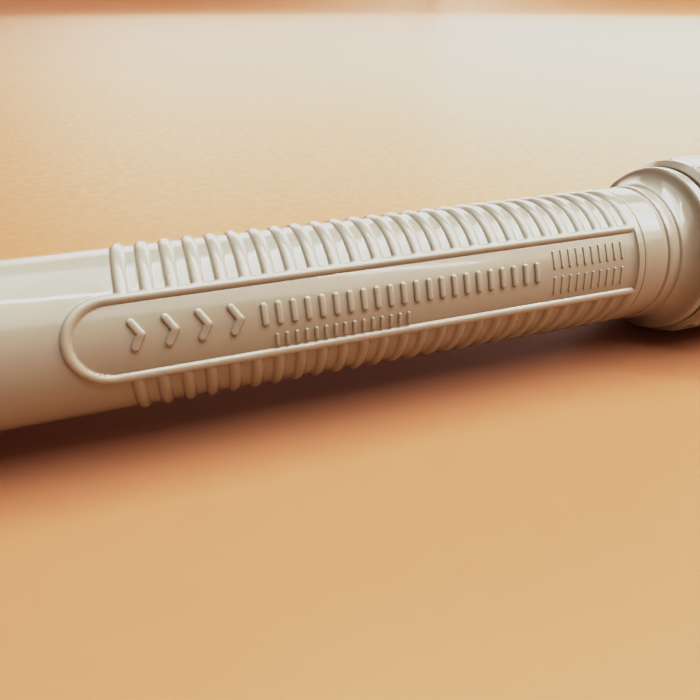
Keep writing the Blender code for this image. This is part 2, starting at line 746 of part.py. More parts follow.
def plunger_knob():
    """The knob: a hub that widens into a rounded disc, with a well for its screw in the back."""
    outline = [
        (KNOB_FRONT_X, ROD_HOLE_R),
        (KNOB_FRONT_X, KNOB_HUB_R),
        (KNOB_FRONT_X - 3.0 * MM, 5.6 * MM),
        (KNOB_FRONT_X - 5.5 * MM, KNOB_R - 0.9 * MM),
        (KNOB_FRONT_X - 6.5 * MM, KNOB_R),
        (KNOB_BACK_X + 1.6 * MM, KNOB_R),
        (KNOB_BACK_X + 0.5 * MM, KNOB_R - 0.6 * MM),
        (KNOB_BACK_X, KNOB_R - 1.8 * MM),
        (KNOB_BACK_X, SCREW_WELL_R),
        (SCREW_WELL_X, SCREW_WELL_R),
        (SCREW_WELL_X, SCREW_HOLE_R),
        (KNOB_FLOOR_X, SCREW_HOLE_R),
        (KNOB_FLOOR_X, ROD_HOLE_R),
    ]
    return turned("plunger_knob", outline, IVORY, FINE, PLUNGER)


def knob_screw():
    """The pan-head screw that holds the knob on the rod, with a cross slot."""
    seat = SCREW_HEAD_X
    top = seat - 1.8 * MM
    outline = [
        (top, 0),
        (top, SCREW_TOP_R),
        (seat - 1.2 * MM, SCREW_HEAD_R),
        (seat, SCREW_HEAD_R),
        (seat, SCREW_SHANK_R),
        (KNOB_FLOOR_X, SCREW_SHANK_R),
        (KNOB_FLOOR_X, 0),
    ]
    obj = turned("knob_screw", outline, STEEL, SMALL, PLUNGER)
    back = top - 0.7 * MM
    floor = seat - 0.9 * MM
    long, wide = SCREW_SLOT_HALF_LONG, SCREW_SLOT_HALF_WIDE
    for name, across, up in (("slot_level", long, wide), ("slot_upright", wide, long)):
        boolean(obj, "DIFFERENCE", box(name, (back, -across, -up), (floor, across, up), None, PLUNGER))
    return obj


# ---------------------------------------------------------------- front end


def front_cap():
    """The screw cap: a fluted collar, a cone and a nose with the nozzle's hole."""
    outline = [
        (CAP_BACK_X, NECK_R + GAP),
        (CAP_BACK_X, COLLAR_R - COLLAR_EDGE),
        (CAP_BACK_X + COLLAR_EDGE, COLLAR_R),
        (CAP_FRONT_X - 0.8 * MM, COLLAR_R),
        (CAP_FRONT_X, COLLAR_R - 0.6 * MM),
        (CAP_NOSE_X - 3.0 * MM, CAP_NOSE_R + 0.7 * MM),
        (CAP_NOSE_X - 0.5 * MM, CAP_NOSE_R),
        (CAP_NOSE_X, CAP_NOSE_R - 0.5 * MM),
        (CAP_NOSE_X, CAP_HOLE_R),
        (NOZZLE_SEAT_X, CAP_HOLE_R),
        (NOZZLE_SEAT_X, CAP_WELL_R),
        (CAP_SHOULDER_X, CAP_WELL_R),
        (CAP_SHOULDER_X, NECK_R + GAP),
    ]
    obj = turned("front_cap", outline, IVORY)
    return boolean(obj, "UNION", flutes("front_flutes", CAP_BACK_X + 1.4 * MM, CAP_FRONT_X - 1.2 * MM))


def nozzle():
    """The nozzle: a flange, a straight neck through the cap's nose and a taper, bored through."""
    outline = [
        (NOZZLE_FLANGE_BACK_X, NOZZLE_SOCKET_R),
        (NOZZLE_FLANGE_BACK_X, NOZZLE_FLANGE_R),
        (NOZZLE_FLANGE_FRONT_X, NOZZLE_FLANGE_R),
        (NOZZLE_FLANGE_FRONT_X, NOZZLE_NECK_R),
        (CAP_NOSE_X + 0.5 * MM, NOZZLE_NECK_R),
        (NOZZLE_TIP_X - 2.0 * MM, NOZZLE_SHOULDER_R),
        (NOZZLE_TIP_X - 0.3 * MM, NOZZLE_END_R),
        (NOZZLE_TIP_X, NOZZLE_TIP_R),
        (NOZZLE_TIP_X, NOZZLE_BORE_R),
        (NOZZLE_FLANGE_FRONT_X + 1.5 * MM, NOZZLE_BORE_R),
    ]
    return turned("nozzle", outline, NOZZLE_WHITE, COARSE)


def nozzle_seal():
    back, front = NOZZLE_FLANGE_FRONT_X + GAP, NOZZLE_SEAT_X - GAP
    hole, rim = CAP_HOLE_R, NOZZLE_FLANGE_R
    outline = [(back, hole), (back, rim), (front, rim), (front, hole)]
    return turned("nozzle_seal", outline, RUBBER, COARSE)


def nozzle_retainer():
    """The split ring that keeps the nozzle in the cap."""
    outer = circle(0, NOZZLE_FLANGE_R, 105, 435, 16)
    inner = circle(0, RETAINER_R, 435, 105, 16)
    clip = extruded("nozzle_retainer", [outer + inner], RETAINER_THICK, SPRING_STEEL)
    clip.location = ((CAP_SHOULDER_X + NOZZLE_FLANGE_BACK_X) / 2, 0, 0)
    return clip


def build():
    for make in (
        barrel,
        rear_cap,
        front_gasket,
        bulkhead,
        damper,
        latch_housing,
        rod_bush,
        main_spring,
        button_spring,
        latch_plate,
        button,
        plunger_rod,
        spring_collar,
        collar_clip,
        latch_cone,
        piston,
        piston_ring,
        cleaning_pin,
        plunger_knob,
        knob_screw,
        front_cap,
        nozzle,
        nozzle_seal,
        nozzle_retainer,
    ):
        make()


build()
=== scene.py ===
"""The looks of the desoldering pump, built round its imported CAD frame.

Shapes are written in millimetres, in the pump's own axes, and put into the frame by placed(). Stations along
the pump are measured from the middle of the grip's first rib. Angles round it start at the side with the name
panel, -Y, and go up over the top.
"""

import math

import bmesh
import bpy
import numpy as np
from mathutils import Matrix, Vector


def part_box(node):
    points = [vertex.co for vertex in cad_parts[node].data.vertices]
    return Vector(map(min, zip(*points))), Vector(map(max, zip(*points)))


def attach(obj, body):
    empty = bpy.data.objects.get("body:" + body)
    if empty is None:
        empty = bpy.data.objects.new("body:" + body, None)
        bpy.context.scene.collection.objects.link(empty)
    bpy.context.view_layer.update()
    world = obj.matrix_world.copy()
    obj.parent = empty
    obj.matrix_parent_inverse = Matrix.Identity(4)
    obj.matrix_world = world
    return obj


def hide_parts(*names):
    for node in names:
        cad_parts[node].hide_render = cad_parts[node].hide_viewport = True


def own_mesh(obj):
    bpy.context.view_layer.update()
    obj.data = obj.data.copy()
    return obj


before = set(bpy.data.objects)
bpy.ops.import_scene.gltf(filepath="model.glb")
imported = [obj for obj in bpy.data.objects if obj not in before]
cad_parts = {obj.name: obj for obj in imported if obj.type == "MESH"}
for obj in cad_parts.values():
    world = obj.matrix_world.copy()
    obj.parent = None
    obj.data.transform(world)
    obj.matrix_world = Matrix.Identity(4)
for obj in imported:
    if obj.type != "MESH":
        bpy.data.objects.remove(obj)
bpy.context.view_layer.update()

MM = 0.001
SHARP = math.radians(38)
FILLET_STEPS = 5
GAP = 0.3  # between pieces that touch

# Barrel and grip
BARREL_BACK_X = -53.0
BARREL_R = 10.85
BORE_R = 9.0
CHAMBER_R = 8.5
BORE_STEP_X = 46.0
REAR_NECK_R = 10.2
REAR_NECK_X = -45.0
RIB_PITCH = 3.0
RIB_COUNT = 25
RIB_HALF = 0.875
RIB_HEIGHT = 0.5
GRIP_FRONT_X = RIB_COUNT * RIB_PITCH
RING_HALF = 1.0
RING_FRONT_X = 76.4
BAND_RISE = 0.45
STEPS_X = (81.0, 83.2)
STEP_RISE = 0.12
GROOVE_DEPTH = 0.16
FLARE_X = 83.5
FLARE_ARC_R = 3.05
FLARE_ARC_MIDDLE_R = 14.55
FLANGE_R = 14.1
FLANGE_FRONT_X = 88.3
NECK_R = 12.1
NECK_FRONT_X = 97.0
THREAD_BACK_X = 89.2
THREAD_FRONT_X = 96.3
THREAD_PITCH = 3.0
THREAD_DEPTH = 0.45

# Name panel: its middle is PANEL_UP above the horizontal, and its bead is a long U, open towards the nozzle
PANEL_UP = math.radians(19)
PANEL_HALF = BARREL_R * math.radians(26.6)
PANEL_ROUND_X = -7.05 + PANEL_HALF
PANEL_RAMP_X = (73.8, 75.2)
BEAD_END_X = 75.0
BEAD_R = 0.68
BEAD_SINK = 0.1
BEAD_REACH = BEAD_R * 1.12  # from its middle line to where its fillet has run out

# Fluted collars, the front cap and the nozzle in it
COLLAR_R = 15.0
COLLAR_EDGE = 0.9
FLUTE_COUNT = 18
FLUTE_HEIGHT = 0.35
FLUTE_HALF = 0.5
CAP_BACK_X = 88.8
CAP_FRONT_X = 105.0
CAP_SHOULDER_X = 99.7
CAP_NOSE_X = 114.5
CAP_HOLE_R = 4.7
CAP_WELL_R = 6.5
GASKET_R = 10.3
NOZZLE_SEAT_X = 104.5
NOZZLE_TIP_X = 127.0
NOZZLE_BORE_R = 1.5
NOZZLE_NECK_R = 4.4
FLANGE_BACK_X = CAP_SHOULDER_X + 1.3
FLANGE_LONG = 2.0
NOZZLE_FLANGE_R = 6.2
REAR_CAP_FRONT_X = -45.3
REAR_CAP_BACK_X = -56.0
REAR_HOLE_R = 4.4

# Latch, button and its window
LATCH_X = -33.0
LATCH_THICK = 1.5
LATCH_CONE_R = 3.9
BOSS_HALF_LONG = 10.0
BOSS_HALF_WIDE = 6.4
BOSS_TOP = 12.2
BUTTON_HALF = (7.0, 4.0)
BUTTON_TOP = 14.2
BUTTON_FOOT = 9.7
BUTTON_TRAVEL = 2.2
WINDOW_GAP = 0.4
BUTTON_SPRING_X = LATCH_X + 3.9
BUTTON_SPRING_FOOT = 5.4
BUTTON_SPRING_R = 1.9
BUTTON_SPRING_WIRE = 0.2
BUTTON_SPRING_TURNS = 4

# Plunger
STROKE = 40.0
ROD_R = 2.5
ROD_HOLE_R = 2.8
ROD_NOSE_R = 2.0
ROD_BACK_X = -104.0
KNOB_FRONT_X = -97.0
KNOB_BACK_X = -109.0
KNOB_FLOOR_X = -104.3
KNOB_R = 11.0
KNOB_GROOVES = 30
KNOB_GROOVE_DEPTH = 0.3
SCREW_SEAT_X = KNOB_BACK_X + 2.3
SCREW_R = 3.2
SCREW_SHANK_R = 1.6
PISTON_BACK_X = 48.6
PISTON_FRONT_X = 56.6
PISTON_R = 8.1
PISTON_GROOVE_X = PISTON_FRONT_X - 3.6
PISTON_GROOVE_HALF = 1.2
PISTON_GROOVE_R = 6.2
PISTON_RING_WIRE = 0.85
PISTON_RING_GAP = 0.12
SPRING_BACK_X = -13.7
SPRING_FRONT_X = 39.7
SPRING_R = 6.2
SPRING_WIRE = 0.5
SPRING_TURNS = 11
SPRING_COLLAR_X = SPRING_BACK_X - GAP
COIL_STEPS = 36

# Camera: its place from the pump's origin, and how far it looks down and to the right of straight across
CAMERA_AT = (4.45, -77.9, 39.18)
CAMERA_DOWN = math.radians(30.78)
CAMERA_RIGHT = math.radians(19.18)
CAMERA_LENS = 30.82
CAMERA_SENSOR = 36.0

# The tone curve of a small camera, deep shadows and a soft shoulder: light, then how bright it is shown
TONES = ((0.06, 0.016), (0.15, 0.072), (0.3, 0.225), (0.5, 0.47), (0.7, 0.64), (1.0, 0.735), (2.5, 0.84))
TONE_WHITE = 9.0

# Floor
FLOOR_FLAT = 2.2
FLOOR_SWEEP = 1.2
FLOOR_TOP = 2.4

# The barrel's box in the frame gives the origin's station, and the rod's gives the axis
AXIS_LOW, AXIS_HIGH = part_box("plunger_rod")
AXIS = Vector((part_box("barrel")[0].x - BARREL_BACK_X * MM, 0, (AXIS_LOW.z + AXIS_HIGH.z) / 2))


def placed(point):
    """A point in the pump's axes and millimetres, in the frame."""
    return AXIS + Vector(point) * MM


# ---------------------------------------- shaping


def smooth_max(a, b, blend):
    """The larger value, with the crease between the two rounded off."""
    reach = np.maximum(blend - np.abs(a - b), 0) / blend
    return np.maximum(a, b) + reach * reach * blend / 4


def smooth_min(a, b, blend):
    return -smooth_max(-a, -b, blend)


def fade(value, start, end):
    """0 before start, 1 after end, with an easy slope between them."""
    share = np.clip((value - start) / (end - start), 0, 1)
    return share * share * (3 - 2 * share)


def round_back(distance, half, height):
    """The height of a round-backed bar at this distance from its middle line."""
    radius = (half * half + height * height) / (2 * height)
    inside = np.maximum(radius * radius - distance * distance, 0)
    return np.sqrt(inside) - (radius - height)


def spread(start, end, step):
    """Even steps from start up to, but not at, end."""
    count = max(1, round(abs(end - start) / step))
    return [start + (end - start) * i / count for i in range(count)]


def rounded(corners):
    """A closed outline of (x, r) points, with an arc at each corner that is given as (x, r, fillet)."""
    points = []
    count = len(corners)
    for i, (x, r, *fillet) in enumerate(corners):
        if not fillet:
            points.append((x, r))
            continue
        here = Vector((x, r))
        back = Vector(corners[i - 1][:2]) - here
        ahead = Vector(corners[(i + 1) % count][:2]) - here
        reach = fillet[0] / math.tan(back.angle(ahead) / 2)
        reach = min(reach, 0.48 * back.length, 0.48 * ahead.length)
        first, last = here + back.normalized() * reach, here + ahead.normalized() * reach
        for k in range(FILLET_STEPS + 1):
            t = k / FILLET_STEPS
            points.append(tuple(first * (1 - t) ** 2 + here * 2 * t * (1 - t) + last * t * t))
    return points


def even_angles(count):
    return np.radians(np.arange(count) * 360 / count)


# ---------------------------------------- making pieces


def piece(name, mesh, finish, body, *nodes):
    """A shown object with its finish, riding on a body and standing for CAD nodes."""
    obj = bpy.data.objects.new(name, mesh)
    bpy.context.scene.collection.objects.link(obj)
    slot_name, material = finish
    mesh.materials.clear()
    mesh.materials.append(material)
    for face in mesh.polygons:
        face.use_smooth = True
    mesh.set_sharp_from_angle(angle=SHARP)
    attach(obj, body)
    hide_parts(*nodes)
    return obj


def weighted(obj):
    """Shades flat faces flat up to their rounded edges."""
    modifier = obj.modifiers.new("flat_faces", "WEIGHTED_NORMAL")
    modifier.keep_sharp = True
    modifier.weight = 80
    return obj


def tidy_mesh(name, shape):
    bmesh.ops.remove_doubles(shape, verts=shape.verts, dist=1e-7)
    bmesh.ops.recalc_face_normals(shape, faces=shape.faces)
    mesh = bpy.data.meshes.new(name)
    shape.to_mesh(mesh)
    shape.free()
    return mesh


def turned_mesh(name, outline, angles, relief=None):
    """A closed (x, r) outline turned round the axis; relief(x, a, r) may give each point another radius."""
    x = np.array([p[0] for p in outline])[:, None]
    r = np.array([p[1] for p in outline])[:, None]
    a = np.asarray(angles)[None, :]
    radius = np.broadcast_to(r, (len(outline), a.shape[1]))
    if relief:
        radius = relief(x, a, radius)
    along = np.broadcast_to(x, radius.shape)
    points = np.stack([along, -radius * np.cos(a), radius * np.sin(a)], axis=-1) * MM
    points += np.array(AXIS)
    rows, sides = radius.shape
    index = np.arange(rows * sides).reshape(rows, sides)
    faces = []
    for i in range(rows):
        after = (i + 1) % rows
        if r[i, 0] == 0 and r[after, 0] == 0:
            continue
        here, there = index[i], index[after]
        quads = np.stack([here, there, np.roll(there, -1), np.roll(here, -1)], axis=-1)
        faces += quads.tolist()
    mesh = bpy.data.meshes.new(name)
    mesh.from_pydata(points.reshape(-1, 3).tolist(), [], faces)
    shape = bmesh.new()
    shape.from_mesh(mesh)
    bpy.data.meshes.remove(mesh)
    return tidy_mesh(name, shape)


def turned(name, corners, finish, body, node, sides=96, relief=None, angles=None):
    """A turned piece that stands for one CAD node, with its corners rounded."""
    angles = even_angles(sides) if angles is None else angles
    mesh = turned_mesh(name, rounded(corners), angles, relief)
    return weighted(piece(name, mesh, finish, body, node))


def round_rect(half_long, half_wide, corner, steps=6):
    """(u, v) points round a rectangle with rounded corners."""
    points = []
    for quarter in range(4):
        side_u = 1 if quarter in (0, 3) else -1
        side_v = 1 if quarter in (0, 1) else -1
        for k in range(steps + 1):
            turn = math.radians(90 * (quarter + k / steps))
            u = side_u * (half_long - corner) + corner * math.cos(turn)
            v = side_v * (half_wide - corner) + corner * math.sin(turn)
            points.append((u, v))
    return points


def level_rim(x, half_long, half_wide, corner, z, steps=6):
    """A rounded rectangle at one height, with its middle over the axis at station x."""
    return [placed((x + u, v, z)) for u, v in round_rect(half_long, half_wide, corner, steps)]


def quarter_round(inset, bottom, rise, steps):
    """(inset, height) pairs over a rounded edge, from its upright side to its level top."""
    turns = [math.radians(90 * k / steps) for k in range(1, steps + 1)]
    return [(inset * (1 - math.cos(t)), bottom + rise * math.sin(t)) for t in turns]


def lofted(loops):
    """A bmesh skin over loops of equally many (x, y, z) points, closed by a face at each end."""
    shape = bmesh.new()
    rings = [[shape.verts.new(point) for point in loop] for loop in loops]
    for lower, upper in zip(rings, rings[1:]):
        for i, corner in enumerate(lower):
            after = (i + 1) % len(lower)
            shape.faces.new((corner, lower[after], upper[after], upper[i]))
    shape.faces.new(rings[0][::-1])
    shape.faces.new(rings[-1])
    return shape


def applied(obj):
    """The object's mesh with its modifiers applied."""
    bpy.context.view_layer.update()
    graph = bpy.context.evaluated_depsgraph_get()
    mesh = bpy.data.meshes.new_from_object(obj.evaluated_get(graph))
    mesh.name = obj.name
    return mesh


def carved(mesh, cutters, operation="DIFFERENCE"):
    """A mesh after boolean operations with other meshes, all in the same axes."""
    target = bpy.data.objects.new(mesh.name, mesh)
    bpy.context.scene.collection.objects.link(target)
    helpers = []
    for cutter in cutters:
        helper = bpy.data.objects.new(cutter.name, cutter)
        bpy.context.scene.collection.objects.link(helper)
        helpers.append(helper)
        modifier = target.modifiers.new(cutter.name, "BOOLEAN")
        modifier.operation = operation
        modifier.solver = "EXACT"
        modifier.object = helper
    result = applied(target)
    for extra in (target, *helpers):
        data = extra.data
        bpy.data.objects.remove(extra)
        bpy.data.meshes.remove(data)
    return result


def add_loop(curve, points, closed):
    """Adds a run of (x, y, z) points, in metres, to a curve."""
    spline = curve.splines.new("POLY")
    spline.points.add(len(points) - 1)
    spline.use_cyclic_u = closed
    for place, point in zip(spline.points, points):
        place.co = (*point, 1)


def curve_mesh(name, curve, stand):
    """The closed mesh of a curve, moved by a matrix."""
    guide = bpy.data.objects.new(name + "_guide", curve)
    bpy.context.scene.collection.objects.link(guide)
    mesh = applied(guide)
    bpy.data.objects.remove(guide)
    mesh.transform(stand)
    shape = bmesh.new()
    shape.from_mesh(mesh)
    bpy.data.meshes.remove(mesh)
    return tidy_mesh(name, shape)


def tube_mesh(name, points, radius):
    """A round wire through points, as a mesh with closed ends."""
    curve = bpy.data.curves.new(name, "CURVE")
    curve.dimensions = "3D"
    curve.bevel_depth = radius * MM
    curve.bevel_resolution = 4
    curve.use_fill_caps = True
    add_loop(curve, [placed(point) for point in points], False)
    return curve_mesh(name, curve, Matrix())


def plate_mesh(name, loops, thick, x, edge):
    """A flat plate across the axis, of (y, z) loops, with its edges rounded; x is its middle."""
    curve = bpy.data.curves.new(name, "CURVE")
    curve.dimensions = "2D"
    curve.fill_mode = "BOTH"
    curve.extrude = (thick / 2 - edge) * MM
    curve.bevel_depth = edge * MM
    curve.bevel_resolution = 2
    curve.offset = -edge * MM
    for loop in loops:
        add_loop(curve, [(y * MM, z * MM, 0) for y, z in loop], True)
    across = Matrix(((0, 0, 1, 0), (1, 0, 0, 0), (0, 1, 0, 0), (0, 0, 0, 1)))
    return curve_mesh(name, curve, Matrix.Translation(placed((x, 0, 0))) @ across)


# ---------------------------------------- finishes


class Finish:
    """A procedural material round one Principled shader; patterns follow the piece's own coordinates."""

    def __init__(self, name, colour, roughness, metallic=0.0):
        self.material = bpy.data.materials.new(name)
        self.material.use_nodes = True
        tree = self.material.node_tree
        self.nodes, self.links = tree.nodes, tree.links
        self.shader = self.nodes["Principled BSDF"]
        self.colour = colour
        self.shader.inputs["Base Color"].default_value = (*colour, 1)
        self.shader.inputs["Roughness"].default_value = roughness
        self.shader.inputs["Metallic"].default_value = metallic
        self.bump = None

    def noise(self, size, detail=3.0, stretch=(1, 1, 1), rough=0.5):
        """A noise whose features are about this many millimetres across, drawn out by stretch."""
        where = self.nodes.new("ShaderNodeTexCoord")
        scale = self.nodes.new("ShaderNodeMapping")
        scale.inputs["Scale"].default_value = [1 / (size * MM * s) for s in stretch]
        texture = self.nodes.new("ShaderNodeTexNoise")
        texture.inputs["Scale"].default_value = 1.0
        texture.inputs["Detail"].default_value = detail
        texture.inputs["Roughness"].default_value = rough
        self.links.new(where.outputs["Object"], scale.inputs["Vector"])
        self.links.new(scale.outputs["Vector"], texture.inputs["Vector"])
        return texture.outputs["Fac"]

    def ranged(self, value, low, high, start=0.35, end=0.65):
        """The value between start and end, spread over low to high."""
        node = self.nodes.new("ShaderNodeMapRange")
        node.inputs["From Min"].default_value = start
        node.inputs["From Max"].default_value = end
        node.inputs["To Min"].default_value = low
        node.inputs["To Max"].default_value = high
        self.links.new(value, node.inputs["Value"])
        return node.outputs["Result"]

    def tint(self, value, other):
        """Mixes the colour so far towards another one by the value."""
        mix = self.nodes.new("ShaderNodeMix")
        mix.data_type = "RGBA"
        socket = self.shader.inputs["Base Color"]
        if socket.is_linked:
            self.links.new(socket.links[0].from_socket, mix.inputs["A"])
        else:
            mix.inputs["A"].default_value = (*self.colour, 1)
        mix.inputs["B"].default_value = (*other, 1)
        self.links.new(value, mix.inputs["Factor"])
        self.links.new(mix.outputs["Result"], socket)

    def gloss(self, value, low, high):
        """Lets the roughness wander between two values."""
        self.links.new(self.ranged(value, low, high), self.shader.inputs["Roughness"])

    def relief(self, value, depth):
        """Adds a bump of this many millimetres."""
        node = self.nodes.new("ShaderNodeBump")
        node.inputs["Strength"].default_value = 1.0
        node.inputs["Distance"].default_value = depth * MM
        self.links.new(value, node.inputs["Height"])
        if self.bump:
            self.links.new(self.bump.outputs["Normal"], node.inputs["Normal"])
        self.bump = node
        self.links.new(node.outputs["Normal"], self.shader.inputs["Normal"])

    def worn(self, other):
        """Edges rubbed to another colour."""
        geometry = self.nodes.new("ShaderNodeNewGeometry")
        self.tint(self.ranged(geometry.outputs["Pointiness"], 0.0, 0.6, 0.53, 0.6), other)


def ivory():
    """Glossy ivory ABS, a little mottled, with moulding ripple, fine scratches and a trace of dust."""
    finish = Finish("ivory_abs", (0.41, 0.412, 0.366), 0.16)
    finish.tint(finish.ranged(finish.noise(22, 2), 0.0, 0.5), (0.44, 0.442, 0.398))
    finish.tint(finish.ranged(finish.noise(1.1, 5, rough=0.7), 0.0, 0.2, 0.6, 0.85), (0.39, 0.355, 0.28))
    finish.gloss(finish.noise(2.5, 5, rough=0.65), 0.08, 0.17)
    finish.relief(finish.noise(2.2, 1), 0.0015)
    finish.relief(finish.noise(0.22, 2), 0.0003)
    finish.relief(finish.ranged(finish.noise(0.35, 4, (14, 1, 1)), 0.0, 1.0, 0.62, 0.7), 0.0004)
    shader = finish.shader
    shader.inputs["Subsurface Weight"].default_value = 0.06
    shader.inputs["Subsurface Radius"].default_value = (1.0, 0.7, 0.4)
    shader.inputs["Subsurface Scale"].default_value = 0.5 * MM
    return finish.material


def charcoal():
    """Dark plastic with a fine eroded texture, polished where the thumb rubs it."""
    finish = Finish("charcoal_plastic", (0.04, 0.042, 0.047), 0.45)
    finish.tint(finish.ranged(finish.noise(4, 4), 0.0, 0.5), (0.06, 0.06, 0.063))
    finish.gloss(finish.noise(3, 4), 0.33, 0.55)
    finish.relief(finish.noise(0.16, 3, rough=0.7), 0.02)
    finish.worn((0.12, 0.12, 0.12))
    return finish.material


def natural():
    """Uncoloured nylon, matte, with faint flow marks."""
    finish = Finish("natural_nylon", (0.72, 0.70, 0.63), 0.5)
    finish.tint(finish.ranged(finish.noise(6, 3, (3, 1, 1)), 0.0, 0.5), (0.78, 0.76, 0.70))
    finish.gloss(finish.noise(1.2, 4), 0.42, 0.6)
    finish.relief(finish.noise(0.3, 3), 0.004)
    finish.shader.inputs["Subsurface Weight"].default_value = 0.15
    finish.shader.inputs["Subsurface Scale"].default_value = MM
    return finish.material


def nozzle_white():
    """White fluoropolymer, waxy, with fine turning marks and a little flux browning."""
    finish = Finish("nozzle_fluoropolymer", (0.80, 0.80, 0.77), 0.42)
    finish.tint(finish.ranged(finish.noise(3, 5, rough=0.7), 0.0, 0.35, 0.55, 0.75), (0.62, 0.52, 0.36))
    finish.gloss(finish.noise(1.5, 4), 0.34, 0.52)
    finish.relief(finish.noise(0.18, 2, (0.5, 30, 30)), 0.004)
    finish.relief(finish.noise(0.9, 3), 0.006)
    finish.shader.inputs["Subsurface Weight"].default_value = 0.25
    finish.shader.inputs["Subsurface Scale"].default_value = 1.2 * MM
    return finish.material


def metal(name, colour, darker, rough_low, rough_high, grain):
    """Drawn or turned metal; grain stretches its fine lines along or round the axis."""
    finish = Finish(name, colour, rough_low, 1.0)
    finish.tint(finish.ranged(finish.noise(3, 5, rough=0.7), 0.0, 0.5), darker)
    finish.gloss(finish.noise(0.12, 3, grain), rough_low, rough_high)
    finish.relief(finish.noise(0.1, 2, grain), 0.0025)
    return finish.material


def rubber():
    """Black nitrile, slightly bloomed."""
    finish = Finish("nitrile_rubber", (0.022, 0.022, 0.023), 0.6)
    finish.tint(finish.ranged(finish.noise(1.4, 5, rough=0.7), 0.0, 0.35), (0.075, 0.073, 0.07))
    finish.gloss(finish.noise(0.8, 4), 0.5, 0.78)
    finish.relief(finish.noise(0.12, 4, rough=0.7), 0.008)
    return finish.material


ROUND_GRAIN = (1, 40, 40)
LONG_GRAIN = (40, 1, 1)
STEEL_TONES = (0.62, 0.62, 0.63), (0.5, 0.5, 0.51)
SPRING_TONES = (0.44, 0.44, 0.46), (0.3, 0.29, 0.28)
BRASS_TONES = (0.75, 0.57, 0.27), (0.58, 0.4, 0.17)

IVORY = ("ivory_shell", ivory())
CHARCOAL = ("charcoal_plastic", charcoal())
NATURAL = ("natural_plastic", natural())
NOZZLE_WHITE = ("nozzle_white", nozzle_white())
STEEL = ("bright_steel", metal("ground_steel", *STEEL_TONES, 0.16, 0.3, ROUND_GRAIN))
SPRING_STEEL = ("spring_steel", metal("spring_wire", *SPRING_TONES, 0.26, 0.42, LONG_GRAIN))
BRASS = ("bush_brass", metal("turned_brass", *BRASS_TONES, 0.2, 0.36, ROUND_GRAIN))
RUBBER = ("black_rubber", rubber())


# ---------------------------------------- barrel


def panel_distances(x, arc):
    """The distance to the bead's middle line, and whether that is round the point; arc is in mm up."""
    from_round = np.hypot(x - PANEL_ROUND_X, arc)
    beyond = np.maximum(x - BEAD_END_X, 0)
    straight = np.hypot(np.abs(arc) - PANEL_HALF, beyond)
    behind = x < PANEL_ROUND_X
    distance = np.where(behind, np.abs(from_round - PANEL_HALF), straight)
    inside = np.where(behind, from_round < PANEL_HALF, np.abs(arc) < PANEL_HALF)
    return distance, inside


def boss_radius(x, a):
    """How far out the flat-topped boss round the button reaches."""
    up = np.maximum(np.sin(a), 0.3)
    across = np.maximum(np.abs(np.cos(a)), 0.05)
    ends = BARREL_R + (BOSS_HALF_LONG - np.abs(x - LATCH_X)) * 3.5
    body = smooth_min(BOSS_TOP / up, BOSS_HALF_WIDE / across, blend=1.1)
    return np.where(np.sin(a) > 0.3, smooth_min(body, ends, blend=1.4), 0)


def groove(x, middle, width):
    """The depth of a soft groove round the barrel."""
    return GROOVE_DEPTH * np.exp(-(((x - middle) / width) ** 2))


def front_profile(x):
    """Height over the barrel of the closing ring, the plain band and its two fine steps."""
    ring = np.where(x < GRIP_FRONT_X, round_back(x - GRIP_FRONT_X, RING_HALF, RIB_HEIGHT), RIB_HEIGHT)
    height = ring + (BAND_RISE - RIB_HEIGHT) * fade(x, RING_FRONT_X - 0.1, RING_FRONT_X + 0.1)
    height = height - groove(x, RING_FRONT_X, 0.13)
    for station in STEPS_X:
        height = height + STEP_RISE * fade(x, station - 0.05, station + 0.3)
        height = height - groove(x, station - 0.1, 0.2)
    return height


def rib_height(x):
    """Height of the grip's ribs; it is below zero between them."""
    nearest = np.clip(np.round(x / RIB_PITCH), 0, RIB_COUNT - 1) * RIB_PITCH
    return round_back(x - nearest, RIB_HALF, RIB_HEIGHT)


def panel_floor(x):
    """Height of the panel's floor, which curves up to the closing ring at its front end."""
    back, front = PANEL_RAMP_X
    climb = np.clip((x - back) / (front - back), 0, 1)
    return RIB_HEIGHT * (1 - np.sqrt(1 - climb * climb))


def bead_height(distance):
    """Height of the bead at this distance from its middle line."""
    bead = np.sqrt(np.maximum(BEAD_R**2 - distance**2, 0)) - BEAD_SINK
    return np.where(distance < BEAD_R, bead, -BEAD_SINK)


def thread_depth(x, a):
    """Depth of the neck's screw thread, which runs out at both ends."""
    turn = x / THREAD_PITCH + a / (2 * math.pi)
    wave = 0.5 - 0.5 * np.cos(2 * math.pi * turn)
    starts = fade(x, THREAD_BACK_X, THREAD_BACK_X + 0.8)
    ends = fade(x, THREAD_FRONT_X - 0.7, THREAD_FRONT_X)
    return THREAD_DEPTH * starts * (1 - ends) * fade(wave, 0.25, 0.75)


def barrel_relief(x, a, r):
    """Ribs, panel, bead, ring, band, boss and thread, over the barrel's plain radius."""
    arc = (a - PANEL_UP + math.pi) % (2 * math.pi) - math.pi
    distance, inside = panel_distances(x, arc * BARREL_R)
    grip = smooth_max(rib_height(x), front_profile(x), blend=0.05)
    grip = smooth_max(grip, np.zeros_like(grip), blend=0.1)
    height = np.where(inside & (x < PANEL_RAMP_X[1]), panel_floor(x), grip)
    height = smooth_max(height, bead_height(distance), blend=0.09)
    shell = smooth_max(BARREL_R + height, boss_radius(x, a), blend=0.8)
    moulded = (r > BARREL_R - 0.01) & (x > REAR_NECK_X + 0.5) & (x < FLARE_X)
    on_neck = np.abs(r - NECK_R) < 0.01
    return np.where(moulded, shell, np.where(on_neck, r - thread_depth(x, a), r))


